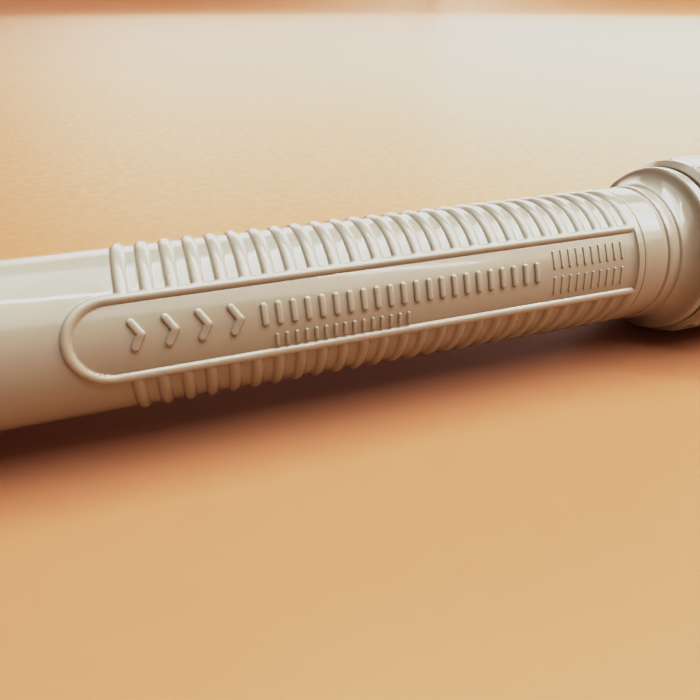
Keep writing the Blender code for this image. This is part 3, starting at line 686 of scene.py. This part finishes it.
def rib_stations():
    """Stations for one pitch of the grip, closer together on the ribs' flanks."""
    flank = [RIB_HALF * math.sin(math.radians(t)) for t in range(-90, 91, 12)]
    return [-1.5, -1.18, -0.97, *flank, 0.97, 1.18]


def barrel_stations():
    """Stations along the barrel, closer together at the boss, panel end, ribs, ring and steps."""
    stations = spread(REAR_NECK_X + 0.6, -21.5, 0.3) + spread(-21.5, -8.8, 0.9)
    stations += spread(-8.8, -1.5, 0.13)
    stations += [i * RIB_PITCH + s for i in range(RIB_COUNT) for s in rib_stations()]
    stations += spread(73.5, 77.0, 0.08) + [77.0, 78.5, 80.0]
    for station in STEPS_X:
        stations += spread(station - 0.4, station + 0.4, 0.05)
    return stations


def barrel_angles():
    """Angles round the barrel, closer together at the bead and the boss's sides, at 60 and 120 degrees."""
    middle = math.degrees(PANEL_UP)
    per_mm = math.degrees(1 / BARREL_R)
    side = PANEL_HALF * per_mm
    across = [BEAD_REACH * math.sin(math.radians(t)) * per_mm for t in range(-90, 90, 12)]
    inner = side - BEAD_REACH * per_mm
    angles = [middle - side + s for s in across] + spread(middle - inner, middle + inner, 1.1)
    angles += [middle + side + s for s in across]
    last = angles[0] + 360
    start = middle + side + BEAD_REACH * per_mm
    angles += spread(start, 54, 0.8) + spread(54, 66, 0.5) + spread(66, 114, 1.5)
    angles += spread(114, 126, 0.5) + spread(126, last, 2.0)
    return np.radians(angles)


def window_cutter():
    """The space for the button, flared at the top so that the window's rim comes out rounded."""
    edge = 0.35
    half_long = BUTTON_HALF[0] + WINDOW_GAP
    half_wide = BUTTON_HALF[1] + WINDOW_GAP
    sections = [(0.0, 6.0), (0.0, BOSS_TOP - edge), *quarter_round(edge, BOSS_TOP - edge, edge, 5)]
    sections.append((edge + 0.02, BOSS_TOP + 1))
    loops = [level_rim(LATCH_X, half_long + g, half_wide + g, 1.3 + g, z) for g, z in sections]
    return tidy_mesh("button_window", lofted(loops))


def barrel():
    """The whole ivory moulding, from the rear cap's seat to the threaded neck."""
    flare = []
    for k in range(13):
        turn = math.radians(270 + 75 * k / 12)
        across, out = FLARE_ARC_R * math.cos(turn), FLARE_ARC_R * math.sin(turn)
        flare.append((FLARE_X + across, FLARE_ARC_MIDDLE_R + out))
    stations = [(x, BARREL_R) for x in barrel_stations()]
    front = [
        (86.75, 14.06, 0.25),
        (FLANGE_FRONT_X, FLANGE_R, 0.35),
        (FLANGE_FRONT_X, NECK_R - 0.35, 0.2),
        (89.0, NECK_R - 0.35),
    ]
    neck = [(x, NECK_R) for x in spread(89.05, 96.6, 0.16)]
    inside = [
        (NECK_FRONT_X, NECK_R - 0.5, 0.15),
        (NECK_FRONT_X, CHAMBER_R, 0.3),
        (BORE_STEP_X, CHAMBER_R),
        (BORE_STEP_X, BORE_R),
        (BARREL_BACK_X, BORE_R, 0.2),
        (BARREL_BACK_X, REAR_NECK_R, 0.3),
        (REAR_NECK_X, REAR_NECK_R),
        (REAR_NECK_X, BARREL_R, 0.25),
    ]
    outline = rounded(stations + flare + front + neck + inside)
    shell = turned_mesh("barrel_shell", outline, barrel_angles(), barrel_relief)
    mesh = carved(shell, [window_cutter()])
    mesh.name = "barrel_shell"
    return piece("barrel_shell", mesh, IVORY, "barrel", "barrel")


# ---------------------------------------- caps


def flute_angles():
    """Angles with close lines at each of the collar's flutes."""
    half = math.degrees(FLUTE_HALF / COLLAR_R)
    close = [half * s for s in (-1.3, -1.0, -0.85, -0.6, -0.3, 0, 0.3, 0.6, 0.85, 1.0, 1.3)]
    offsets = close + spread(half * 1.3 + 1.5, 360 / FLUTE_COUNT - half * 1.3 - 0.7, 1.8)
    middles = [-90 + (i + 0.5) * 360 / FLUTE_COUNT for i in range(FLUTE_COUNT)]
    return np.radians([m + s for m in middles for s in offsets])


def fluted(back_x, front_x):
    """A relief that raises the flutes between two stations of the collar."""

    def relief(x, a, r):
        pitch = 2 * math.pi / FLUTE_COUNT
        off = (a + math.pi / 2) % pitch - pitch / 2
        bar = np.maximum(round_back(off * COLLAR_R, FLUTE_HALF, FLUTE_HEIGHT), 0)
        ends = np.sqrt(fade(x, back_x, back_x + 0.7) * (1 - fade(x, front_x - 0.7, front_x)))
        return r + np.where(r > COLLAR_R - 0.05, bar * ends, 0)

    return relief


def collar_stations(start, end, step):
    """Points along the outside of a collar, closer together where its flutes end."""
    ahead = math.copysign(1, end - start)
    stations = spread(start, start + ahead, 0.15) + spread(start + ahead, end - ahead, step)
    return [(x, COLLAR_R) for x in stations + spread(end - ahead, end, 0.15)]


def collar(name, corners, body, node, flutes):
    """A fluted cap."""
    return turned(name, corners, IVORY, body, node, relief=flutes, angles=flute_angles())


def front_cap():
    back, front = CAP_BACK_X + 1.1, CAP_FRONT_X - 1.0
    corners = [
        (CAP_BACK_X, NECK_R + GAP, 0.2),
        (CAP_BACK_X, COLLAR_R - COLLAR_EDGE, 0.25),
        (CAP_BACK_X + COLLAR_EDGE, COLLAR_R, 0.25),
        *collar_stations(back, front, 1.0),
        (CAP_FRONT_X - 0.2, COLLAR_R, 0.5),
        (CAP_FRONT_X + 0.1, COLLAR_R - 0.75, 0.3),
        (CAP_NOSE_X - 3.2, 8.1, 1.2),
        (CAP_NOSE_X, 7.2, 0.5),
        (CAP_NOSE_X, CAP_HOLE_R, 0.25),
        (NOZZLE_SEAT_X, CAP_HOLE_R),
        (NOZZLE_SEAT_X, CAP_WELL_R),
        (CAP_SHOULDER_X, CAP_WELL_R),
        (CAP_SHOULDER_X, NECK_R + GAP),
    ]
    return collar("front_cap_shell", corners, "cap", "front_cap", fluted(back, front))


def rear_cap():
    back, front = REAR_CAP_BACK_X + 1.3, REAR_CAP_FRONT_X - 1.1
    corners = [
        (REAR_CAP_FRONT_X, REAR_NECK_R + GAP),
        (REAR_CAP_FRONT_X, COLLAR_R - COLLAR_EDGE, 0.25),
        (REAR_CAP_FRONT_X - COLLAR_EDGE, COLLAR_R, 0.25),
        *collar_stations(front, back, 0.8),
        (REAR_CAP_BACK_X + 0.2, COLLAR_R, 0.9),
        (REAR_CAP_BACK_X, COLLAR_R - 2.2, 0.6),
        (REAR_CAP_BACK_X, 7.2, 0.2),
        (REAR_CAP_BACK_X + 0.4, 6.9, 0.2),
        (REAR_CAP_BACK_X + 0.4, REAR_HOLE_R, 0.3),
        (REAR_CAP_FRONT_X + GAP, REAR_HOLE_R),
        (REAR_CAP_FRONT_X + GAP, BORE_R - GAP),
        (BARREL_BACK_X - GAP, BORE_R - GAP),
        (BARREL_BACK_X - GAP, REAR_NECK_R + GAP),
    ]
    return collar("rear_cap_shell", corners, "barrel", "rear_cap", fluted(back, front))


# ---------------------------------------- plunger


def knob():
    """A stepped knob with finger grooves round its rim and a dished back."""
    rim_front, rim_back = KNOB_FRONT_X - 6.3, KNOB_BACK_X + 1.3

    def grooves(x, a, r):
        hollow = (0.5 + 0.5 * np.cos(a * KNOB_GROOVES)) ** 3
        starts = fade(-x, -rim_front + 0.3, -rim_front + 1.0)
        ends = fade(-x, -rim_back - 1.0, -rim_back - 0.3)
        depth = KNOB_GROOVE_DEPTH * hollow * (starts * (1 - ends))
        return r - np.where(r > KNOB_R - 0.05, depth, 0)

    corners = [
        (KNOB_FRONT_X, ROD_HOLE_R, 0.1),
        (KNOB_FRONT_X, 5.0, 0.4),
        (KNOB_FRONT_X - 3.0, 5.5, 1.5),
        (KNOB_FRONT_X - 5.4, KNOB_R - 1.2, 0.9),
        (KNOB_FRONT_X - 5.9, KNOB_R, 0.5),
        *[(x, KNOB_R) for x in spread(rim_front, rim_back, 0.25)],
        (KNOB_BACK_X + 0.9, KNOB_R, 0.5),
        (KNOB_BACK_X, KNOB_R - 1.4, 0.9),
        (KNOB_BACK_X, 8.0, 0.5),
        (KNOB_BACK_X + 0.7, 7.2, 0.5),
        (KNOB_BACK_X + 0.9, 4.6, 0.4),
        (KNOB_BACK_X + 0.3, 4.4, 0.2),
        (KNOB_BACK_X + 0.3, 3.6, 0.2),
        (KNOB_BACK_X + 2.6, 3.6),
        (KNOB_BACK_X + 2.6, 1.9),
        (KNOB_FLOOR_X, 1.9),
        (KNOB_FLOOR_X, ROD_HOLE_R),
    ]
    return turned("plunger_knob_shell", corners, IVORY, "plunger", "plunger_knob", 360, grooves)


def knob_screw():
    """A pan head with a cross recess."""
    seat = SCREW_SEAT_X
    corners = [
        (seat - 1.8, 0),
        (seat - 1.8, 2.2, 0.8),
        (seat - 0.9, SCREW_R, 0.5),
        (seat, SCREW_R, 0.15),
        (seat, SCREW_SHANK_R, 0.2),
        (KNOB_FLOOR_X, SCREW_SHANK_R),
        (KNOB_FLOOR_X, 0),
    ]
    mesh = turned_mesh("knob_screw_head", rounded(corners), even_angles(64))
    cutters = []
    for name, wide, high in (("cross_level", 1.8, 0.32), ("cross_upright", 0.32, 1.8)):
        loops = []
        for x, share in ((seat - 0.8, 0.7), (seat - 2.6, 1.15)):
            rim = round_rect(wide * share, high * share, 0.15 * share)
            loops.append([placed((x, u, v)) for u, v in rim])
        cutters.append(tidy_mesh(name, lofted(loops)))
    mesh = carved(mesh, cutters)
    mesh.name = "knob_screw_head"
    return weighted(piece("knob_screw_head", mesh, STEEL, "plunger", "knob_screw"))


def plunger_rod():
    shoulder = PISTON_BACK_X + 1.4
    corners = [
        (PISTON_FRONT_X, 0),
        (PISTON_FRONT_X, ROD_NOSE_R, 0.2),
        (shoulder, ROD_NOSE_R),
        (shoulder, ROD_R, 0.2),
        (ROD_BACK_X, ROD_R, 0.2),
        (ROD_BACK_X, 0),
    ]
    return turned("plunger_rod_bar", corners, STEEL, "plunger", "plunger_rod", 64)


def latch_cone():
    flat = LATCH_X + LATCH_THICK / 2 + GAP - STROKE
    corners = [
        (flat, ROD_HOLE_R, 0.1),
        (flat, LATCH_CONE_R, 0.12),
        (flat + 1.0, LATCH_CONE_R, 0.25),
        (flat + 3.0, ROD_HOLE_R + 0.2, 0.1),
        (flat + 3.0, ROD_HOLE_R),
    ]
    return turned("latch_catch", corners, STEEL, "plunger", "latch_cone", 72)


def small_turned_pieces():
    """The rest of the turned pieces, all inside the barrel or the cap: name, node, body, finish, outline."""
    wire = PISTON_RING_WIRE
    ring_r = CHAMBER_R - PISTON_RING_GAP - wire
    gasket_x = (NECK_FRONT_X + CAP_SHOULDER_X) / 2
    gasket_wire = gasket_x - NECK_FRONT_X - GAP

    def circle(x, r, radius):
        turns = [math.radians(15 * k) for k in range(24)]
        return [(x + radius * math.cos(t), r + radius * math.sin(t)) for t in turns]

    collar_x = SPRING_COLLAR_X
    groove_back = PISTON_GROOVE_X - PISTON_GROOVE_HALF
    groove_front = PISTON_GROOVE_X + PISTON_GROOVE_HALF
    pin_back = PISTON_FRONT_X + GAP
    pin_tip = NOZZLE_TIP_X + 0.8 - STROKE
    flange = FLANGE_BACK_X
    flange_front = FLANGE_BACK_X + FLANGE_LONG
    seal_back, seal_front = flange_front + GAP, NOZZLE_SEAT_X - GAP
    rows = (
        ("piston_o_ring", "piston_ring", "plunger", RUBBER, circle(PISTON_GROOVE_X, ring_r, wire)),
        ("neck_o_ring", "front_gasket", "barrel", RUBBER, circle(gasket_x, GASKET_R, gasket_wire)),
        ("rod_bush_sleeve", "rod_bush", "barrel", BRASS, [
            (-19.8, ROD_HOLE_R, 0.2),
            (-19.8, 5.0, 0.2),
            (-26.2, 5.0, 0.2),
            (-26.2, ROD_HOLE_R, 0.2),
        ]),
        ("damper_washer", "damper_ring", "barrel", RUBBER, [
            (BORE_STEP_X + GAP, 4.4, 0.3),
            (BORE_STEP_X + GAP, 7.8, 0.3),
            (PISTON_BACK_X - GAP, 7.8, 0.3),
            (PISTON_BACK_X - GAP, 4.4, 0.3),
        ]),
        ("bulkhead_wall", "chamber_bulkhead", "barrel", NATURAL, [
            (BORE_STEP_X - GAP, ROD_HOLE_R, 0.2),
            (BORE_STEP_X - GAP, BORE_R - GAP, 0.3),
            (42.8, BORE_R - GAP, 0.3),
            (42.8, 7.2, 0.4),
            (SPRING_FRONT_X + GAP, 7.2, 0.3),
            (SPRING_FRONT_X + GAP, ROD_HOLE_R, 0.2),
        ]),
        ("spring_seat_collar", "spring_collar", "plunger", NATURAL, [
            (collar_x + 2, ROD_HOLE_R, 0.2),
            (collar_x + 2, 5.2, 0.5),
            (collar_x, 5.2, 0.2),
            (collar_x, 7.6, 0.3),
            (collar_x - 2.5, 7.6, 0.3),
            (collar_x - 2.5, ROD_HOLE_R, 0.2),
        ]),
        ("piston_body", "piston", "plunger", NATURAL, [
            (PISTON_BACK_X, ROD_HOLE_R, 0.2),
            (PISTON_BACK_X, PISTON_R, 0.5),
            (groove_back, PISTON_R, 0.15),
            (groove_back, PISTON_GROOVE_R, 0.1),
            (groove_front, PISTON_GROOVE_R, 0.1),
            (groove_front, PISTON_R, 0.15),
            (PISTON_FRONT_X, PISTON_R, 0.5),
            (PISTON_FRONT_X, ROD_NOSE_R + GAP, 0.2),
            (PISTON_BACK_X + 1.7, ROD_NOSE_R + GAP),
            (PISTON_BACK_X + 1.7, ROD_HOLE_R),
        ]),
        ("cleaning_pin_bar", "cleaning_pin", "plunger", STEEL, [
            (pin_back, 0),
            (pin_back, 3.4, 0.15),
            (pin_back + 2, 3.4, 0.4),
            (pin_back + 2, 0.9, 0.2),
            (pin_tip - 1.2, 0.9, 0.3),
            (pin_tip, 0.35, 0.1),
            (pin_tip, 0),
        ]),
        ("nozzle_body", "nozzle", "nose", NOZZLE_WHITE, [
            (flange, 3.0, 0.3),
            (flange, NOZZLE_FLANGE_R, 0.3),
            (flange_front, NOZZLE_FLANGE_R, 0.3),
            (flange_front, NOZZLE_NECK_R, 0.2),
            (CAP_NOSE_X + 0.5, NOZZLE_NECK_R, 0.5),
            (NOZZLE_TIP_X - 2.0, 2.95, 0.8),
            (NOZZLE_TIP_X, 2.6, 0.3),
            (NOZZLE_TIP_X, NOZZLE_BORE_R, 0.2),
            (flange_front + 1.5, NOZZLE_BORE_R, 0.5),
        ]),
        ("nozzle_seal_ring", "nozzle_seal", "nose", RUBBER, [
            (seal_back, CAP_HOLE_R, 0.2),
            (seal_back, NOZZLE_FLANGE_R, 0.2),
            (seal_front, NOZZLE_FLANGE_R, 0.2),
            (seal_front, CAP_HOLE_R, 0.2),
        ]),
    )
    for name, node, body, finish, corners in rows:
        turned(name, corners, finish, body, node, 72)


def coil(name, start, along, coil_r, turns, wire, across):
    """The wire of a coil spring whose axis is the vector along; across are two units square to it."""
    count = turns * COIL_STEPS
    points = []
    for i in range(count + 1):
        turn = 2 * math.pi * i / COIL_STEPS
        offset = across[0] * math.cos(turn) + across[1] * math.sin(turn)
        points.append(start + along * (i / count) + offset * coil_r)
    return tube_mesh(name, points, wire)


def springs():
    """The two coil springs, each on a mesh of its own."""
    side, up, ahead = Vector((0, 1, 0)), Vector((0, 0, 1)), Vector((1, 0, 0))
    wire = SPRING_WIRE
    start = Vector((SPRING_BACK_X + wire, 0, 0))
    along = ahead * (SPRING_FRONT_X - SPRING_BACK_X - 2 * wire)
    mesh = coil("main_spring_coil", start, along, SPRING_R, SPRING_TURNS, wire, (side, up))
    main = piece("main_spring_coil", mesh, SPRING_STEEL, "barrel", "main_spring")
    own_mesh(main)
    wire = BUTTON_SPRING_WIRE
    foot = BUTTON_SPRING_FOOT
    height = BUTTON_FOOT - GAP - foot
    start = Vector((BUTTON_SPRING_X, 0, foot + wire))
    along = up * (height - 2 * wire)
    turns = BUTTON_SPRING_TURNS
    mesh = coil("button_spring_coil", start, along, BUTTON_SPRING_R, turns, wire, (ahead, side))
    small = piece("button_spring_coil", mesh, SPRING_STEEL, "barrel", "button_spring")
    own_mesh(small)


# ---------------------------------------- flat pieces and the button


def bow(centre_z, radius, start, end, steps):
    """(y, z) points on an arc; angles in degrees from +y towards +z."""
    turns = [math.radians(start + (end - start) * i / steps) for i in range(steps + 1)]
    return [(radius * math.cos(t), centre_z + radius * math.sin(t)) for t in turns]


def flat_pieces():
    """The keyhole plate and the two split rings."""
    keyhole = bow(0, ROD_HOLE_R, 180, 360, 24) + bow(BUTTON_TRAVEL, LATCH_CONE_R + 0.4, -20, 200, 40)
    rim = [(-4, -5), (4, -5), (5.5, -3.5), (5.5, 6.5), (3, 6.9), (3, 11.2)]
    rim += [(-3, 11.2), (-3, 6.9), (-5.5, 6.5), (-5.5, -3.5)]
    mesh = plate_mesh("latch_keyhole_plate", [rim, keyhole], LATCH_THICK, LATCH_X, 0.1)
    weighted(piece("latch_keyhole_plate", mesh, STEEL, "trigger", "latch_plate"))
    split = bow(0, 4.4, 115, 425, 48) + bow(0, ROD_HOLE_R, 425, 115, 48)
    mesh = plate_mesh("collar_split_clip", [split], 0.8, SPRING_COLLAR_X - 3.2, 0.08)
    weighted(piece("collar_split_clip", mesh, SPRING_STEEL, "plunger", "collar_clip"))
    split = bow(0, NOZZLE_FLANGE_R, 105, 435, 60) + bow(0, 4.5, 435, 105, 60)
    mesh = plate_mesh("nozzle_split_ring", [split], 0.7, (CAP_SHOULDER_X + FLANGE_BACK_X) / 2, 0.08)
    weighted(piece("nozzle_split_ring", mesh, SPRING_STEEL, "nose", "nozzle_retainer"))


def button():
    """A push button with a rounded, slightly crowned top and five raised grip bars."""
    half_long, half_wide = BUTTON_HALF
    edge = 0.9
    face = BUTTON_TOP - 0.3
    loops = []
    for inset, z in ((0.0, BUTTON_FOOT), (0.0, face - edge), *quarter_round(edge, face - edge, edge, 6)):
        loops.append(level_rim(LATCH_X, half_long - inset, half_wide - inset, 1.5 - inset * 0.6, z))
    mesh = tidy_mesh("push_button", lofted(loops))
    bars = []
    for i in range(5):
        x = LATCH_X + (i - 2) * 2.1
        loops = []
        for inset, z in ((0.0, face - 0.4), (0.0, face + 0.1), (0.06, face + 0.22), (0.2, face + 0.3)):
            loops.append(level_rim(x, 0.45 - inset, 2.7 - inset, 0.44 - inset, z, 5))
        bars.append(tidy_mesh(f"grip_bar_{i}", lofted(loops)))
    mesh = carved(mesh, bars, "UNION")
    slot = [level_rim(LATCH_X, 1.05, 3.3, 0.1, z, 2) for z in (BUTTON_FOOT - 1, 11.5)]
    mesh = carved(mesh, [tidy_mesh("plate_slot", lofted(slot))])
    mesh.name = "push_button_cap"
    return weighted(piece("push_button_cap", mesh, CHARCOAL, "trigger", "button"))


def latch_housing():
    """The CAD insert has the right shape, and takes the nylon's finish."""
    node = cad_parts["latch_housing"]
    node.material_slots[0].material = NATURAL[1]


# ---------------------------------------- raised marks on the panel


def wrapped(point):
    """A point (x, round, out) of the flat panel, on the barrel: round is in mm up from the panel's middle."""
    x, around, out = point
    turn = PANEL_UP + around / BARREL_R
    r = BARREL_R + out
    return placed((x, -r * math.cos(turn), r * math.sin(turn)))


def stroke(start, end, half, height):
    """A raised line with round ends and a rounded back, between two (x, round) points of the panel."""
    start, end = Vector(start), Vector(end)
    middle, along = (start + end) / 2, (end - start).normalized()
    side = Vector((-along.y, along.x))
    half_long = (end - start).length / 2 + half
    edge = quarter_round(0.75 * half, height * 0.3, height * 0.7, 5)
    loops = []
    for inset, out in ((0.0, -0.15), (0.0, height * 0.3), *edge):
        rim = round_rect(half_long - inset, half - inset, (half - inset) * 0.98)
        flat = [middle + along * u + side * v for u, v in rim]
        loops.append([wrapped((*point, out)) for point in flat])
    return lofted(loops)


def joined(name, shapes):
    """Several bmesh shapes as one mesh."""
    together = bmesh.new()
    for shape in shapes:
        part_mesh = bpy.data.meshes.new("part")
        shape.to_mesh(part_mesh)
        shape.free()
        together.from_mesh(part_mesh)
        bpy.data.meshes.remove(part_mesh)
    bmesh.ops.recalc_face_normals(together, faces=together.faces)
    mesh = bpy.data.meshes.new(name)
    together.to_mesh(mesh)
    together.free()
    return mesh


def chevron(tip, reach, half, height):
    """An arrowhead of two strokes, pointing to the nozzle."""
    x, around = tip
    arms = [
        tidy_mesh(f"arm_{i}", stroke((x - reach * 0.62, around + side * reach), tip, half, height))
        for i, side in enumerate((1, -1))
    ]
    shape = bmesh.new()
    union = carved(arms[0], arms[1:], "UNION")
    shape.from_mesh(union)
    bpy.data.meshes.remove(union)
    return shape


def panel_marks():
    """Plain raised arrowheads and tick strokes in rows, where a real pump has its maker's words."""
    shapes = [chevron((x, 0.4), 1.55, 0.5, 0.42) for x in (1.4, 5.4, 9.4, 13.4)]
    # Each row: its first and last station, count, place up the panel, half length, half width, height
    rows = (
        (16.5, 57.1, 22, 0.45, 1.1, 0.44, 0.4),
        (17.8, 36.4, 15, -3.1, 0.65, 0.28, 0.3),
        (60.2, 72.4, 10, 1.9, 1.15, 0.24, 0.2),
        (60.2, 72.4, 10, -1.95, 1.15, 0.24, 0.2),
    )
    for first, last, count, around, reach, half, height in rows:
        for i in range(count):
            x = first + (last - first) * i / (count - 1)
            shapes.append(stroke((x, around - reach), (x, around + reach), half, height))
    weighted(piece("panel_marks", joined("panel_marks", shapes), IVORY, "barrel"))


# ---------------------------------------- stage


def floor():
    """A plain pale floor that the pump lies on, swept up all round far away."""
    finish = Finish("pale_paper", (0.47, 0.272, 0.168), 0.4)
    finish.tint(finish.ranged(finish.noise(120, 3), 0.0, 0.5), (0.49, 0.289, 0.184))
    finish.gloss(finish.noise(3, 4), 0.36, 0.46)
    finish.relief(finish.noise(0.6, 4), 0.01)
    finish.shader.inputs["Specular IOR Level"].default_value = 0.2
    run = [(r, 0.0) for r in spread(0.1, FLOOR_FLAT, 0.15)]
    for k in range(13):
        turn = math.radians(7.5 * k)
        run.append((FLOOR_FLAT + FLOOR_SWEEP * math.sin(turn), FLOOR_SWEEP * (1 - math.cos(turn))))
    run.append((FLOOR_FLAT + FLOOR_SWEEP, FLOOR_TOP))
    shape = bmesh.new()
    turns = even_angles(96)
    rings = [[shape.verts.new((r * math.cos(t), r * math.sin(t), z)) for t in turns] for r, z in run]
    shape.faces.new(rings[0])
    for inner, outer in zip(rings, rings[1:]):
        for i, corner in enumerate(inner):
            after = (i + 1) % len(inner)
            shape.faces.new((corner, outer[i], outer[after], inner[after]))
    mesh = tidy_mesh("floor_sheet", shape)
    mesh.materials.append(finish.material)
    for face in mesh.polygons:
        face.use_smooth = True
    obj = bpy.data.objects.new("floor_sheet", mesh)
    bpy.context.scene.collection.objects.link(obj)


def area_light(name, at, aim, size, power, colour):
    """A rectangular light; its long side lies level."""
    light = bpy.data.lights.new(name, "AREA")
    light.shape = "RECTANGLE"
    light.size, light.size_y = size
    light.energy = power
    light.color = colour
    obj = bpy.data.objects.new(name, light)
    obj.location = at
    obj.rotation_euler = (Vector(aim) - Vector(at)).to_track_quat("-Z", "Y").to_euler()
    obj.visible_camera = False
    bpy.context.scene.collection.objects.link(obj)
    return obj


def strip_light(name, start, end, width, power, colour):
    """A long narrow light between two points overhead, facing down."""
    start, end = Vector(start), Vector(end)
    middle = (start + end) / 2
    length = (end - start).length
    obj = area_light(name, middle, middle - Vector((0, 0, 1)), (length, width), power, colour)
    obj.rotation_euler = (0, 0, math.atan2(end.y - start.y, end.x - start.x))
    return obj


def soft_end(card, dark, bright):
    """Fades a card's light along its length, from dark to bright, so that its reflection ends softly."""
    card.data.use_nodes = True
    tree = card.data.node_tree
    place = tree.nodes.new("ShaderNodeNewGeometry")
    split = tree.nodes.new("ShaderNodeSeparateXYZ")
    fall = tree.nodes.new("ShaderNodeMapRange")
    fall.interpolation_type = "SMOOTHSTEP"
    fall.inputs["From Min"].default_value = dark
    fall.inputs["From Max"].default_value = bright
    tree.links.new(place.outputs["Parametric"], split.inputs["Vector"])
    tree.links.new(split.outputs["X"], fall.inputs["Value"])
    tree.links.new(fall.outputs["Result"], tree.nodes["Emission"].inputs["Strength"])


def lights():
    """A softbox overhead, two thin tubes, and cards that are only seen reflected."""
    warm_white = (1.0, 0.985, 0.96)
    cool_white = (0.97, 0.985, 1.0)
    area_light("overhead_softbox", (1.25, -0.2, 1.95), (1.25, -0.2, 0.0), (2.8, 2.2), 80.0, warm_white)
    strip_light("strip_back", (0.0, 0.79, 1.65), (1.9, -0.65, 1.65), 0.03, 13.0, cool_white)
    strip_light("strip_front", (-0.7, 0.08, 1.65), (1.3, -1.58, 1.65), 0.03, 10.0, cool_white)
    ceiling_card = strip_light("ceiling_card", (-1.6, 0.5, 1.8), (3.4, -2.7, 1.8), 2.6, 90.0, warm_white)
    left_card = area_light("left_card", (0.05, 2.55, 0.7), (0.0, 0.0, 0.6), (2.418, 1.1), 18.6, cool_white)
    right_card = area_light("right_card", (2.0, 1.6, 0.7), (0.0, 0.0, 0.6), (2.372, 1.1), 22.6, cool_white)
    for card in (ceiling_card, left_card, right_card):
        card.visible_diffuse = False
    soft_end(left_card, 1.0, 0.45)
    soft_end(right_card, 0.0, 0.55)
    for turn in (0.0, 0.5, 1.0, 1.5):
        way = Vector((math.cos(turn * math.pi), math.sin(turn * math.pi), 0))
        start = way * 1.5 + Vector((0, 0, 1.9))
        target = start + way - Vector((0, 0, 0.3))
        area_light(f"wall_wash_{int(turn * 180)}", start, target, (2.4, 0.4), 30.0, warm_white)
    world = bpy.data.worlds.new("studio")
    world.use_nodes = True
    sky = world.node_tree.nodes["Background"]
    sky.inputs["Color"].default_value = (1.0, 0.85, 0.68, 1)
    sky.inputs["Strength"].default_value = 0.1
    bpy.context.scene.world = world


def tone_curve():
    """Shows the render through the camera's tone curve."""
    view = bpy.context.scene.view_settings
    view.view_transform = "Standard"
    view.use_curve_mapping = True
    mapping = view.curve_mapping
    mapping.use_clip = False
    curve = mapping.curves[3]
    curve.points[1].location = (TONE_WHITE, 1.0)
    for value, shown in TONES:
        curve.points.new(value, shown)
    mapping.update()


def camera():
    """A close view from the front left, looking down past the name panel."""
    data = bpy.data.cameras.new("camera")
    data.lens = CAMERA_LENS
    data.sensor_width = CAMERA_SENSOR
    data.clip_start = 0.003
    data.clip_end = 20.0
    obj = bpy.data.objects.new("camera", data)
    obj.location = placed(CAMERA_AT)
    obj.rotation_euler = (math.pi / 2 - CAMERA_DOWN, 0, -CAMERA_RIGHT)
    bpy.context.scene.collection.objects.link(obj)
    bpy.context.scene.camera = obj


barrel()
panel_marks()
front_cap()
rear_cap()
knob()
knob_screw()
plunger_rod()
latch_cone()
small_turned_pieces()
springs()
flat_pieces()
button()
latch_housing()
floor()
lights()
camera()
tone_curve()
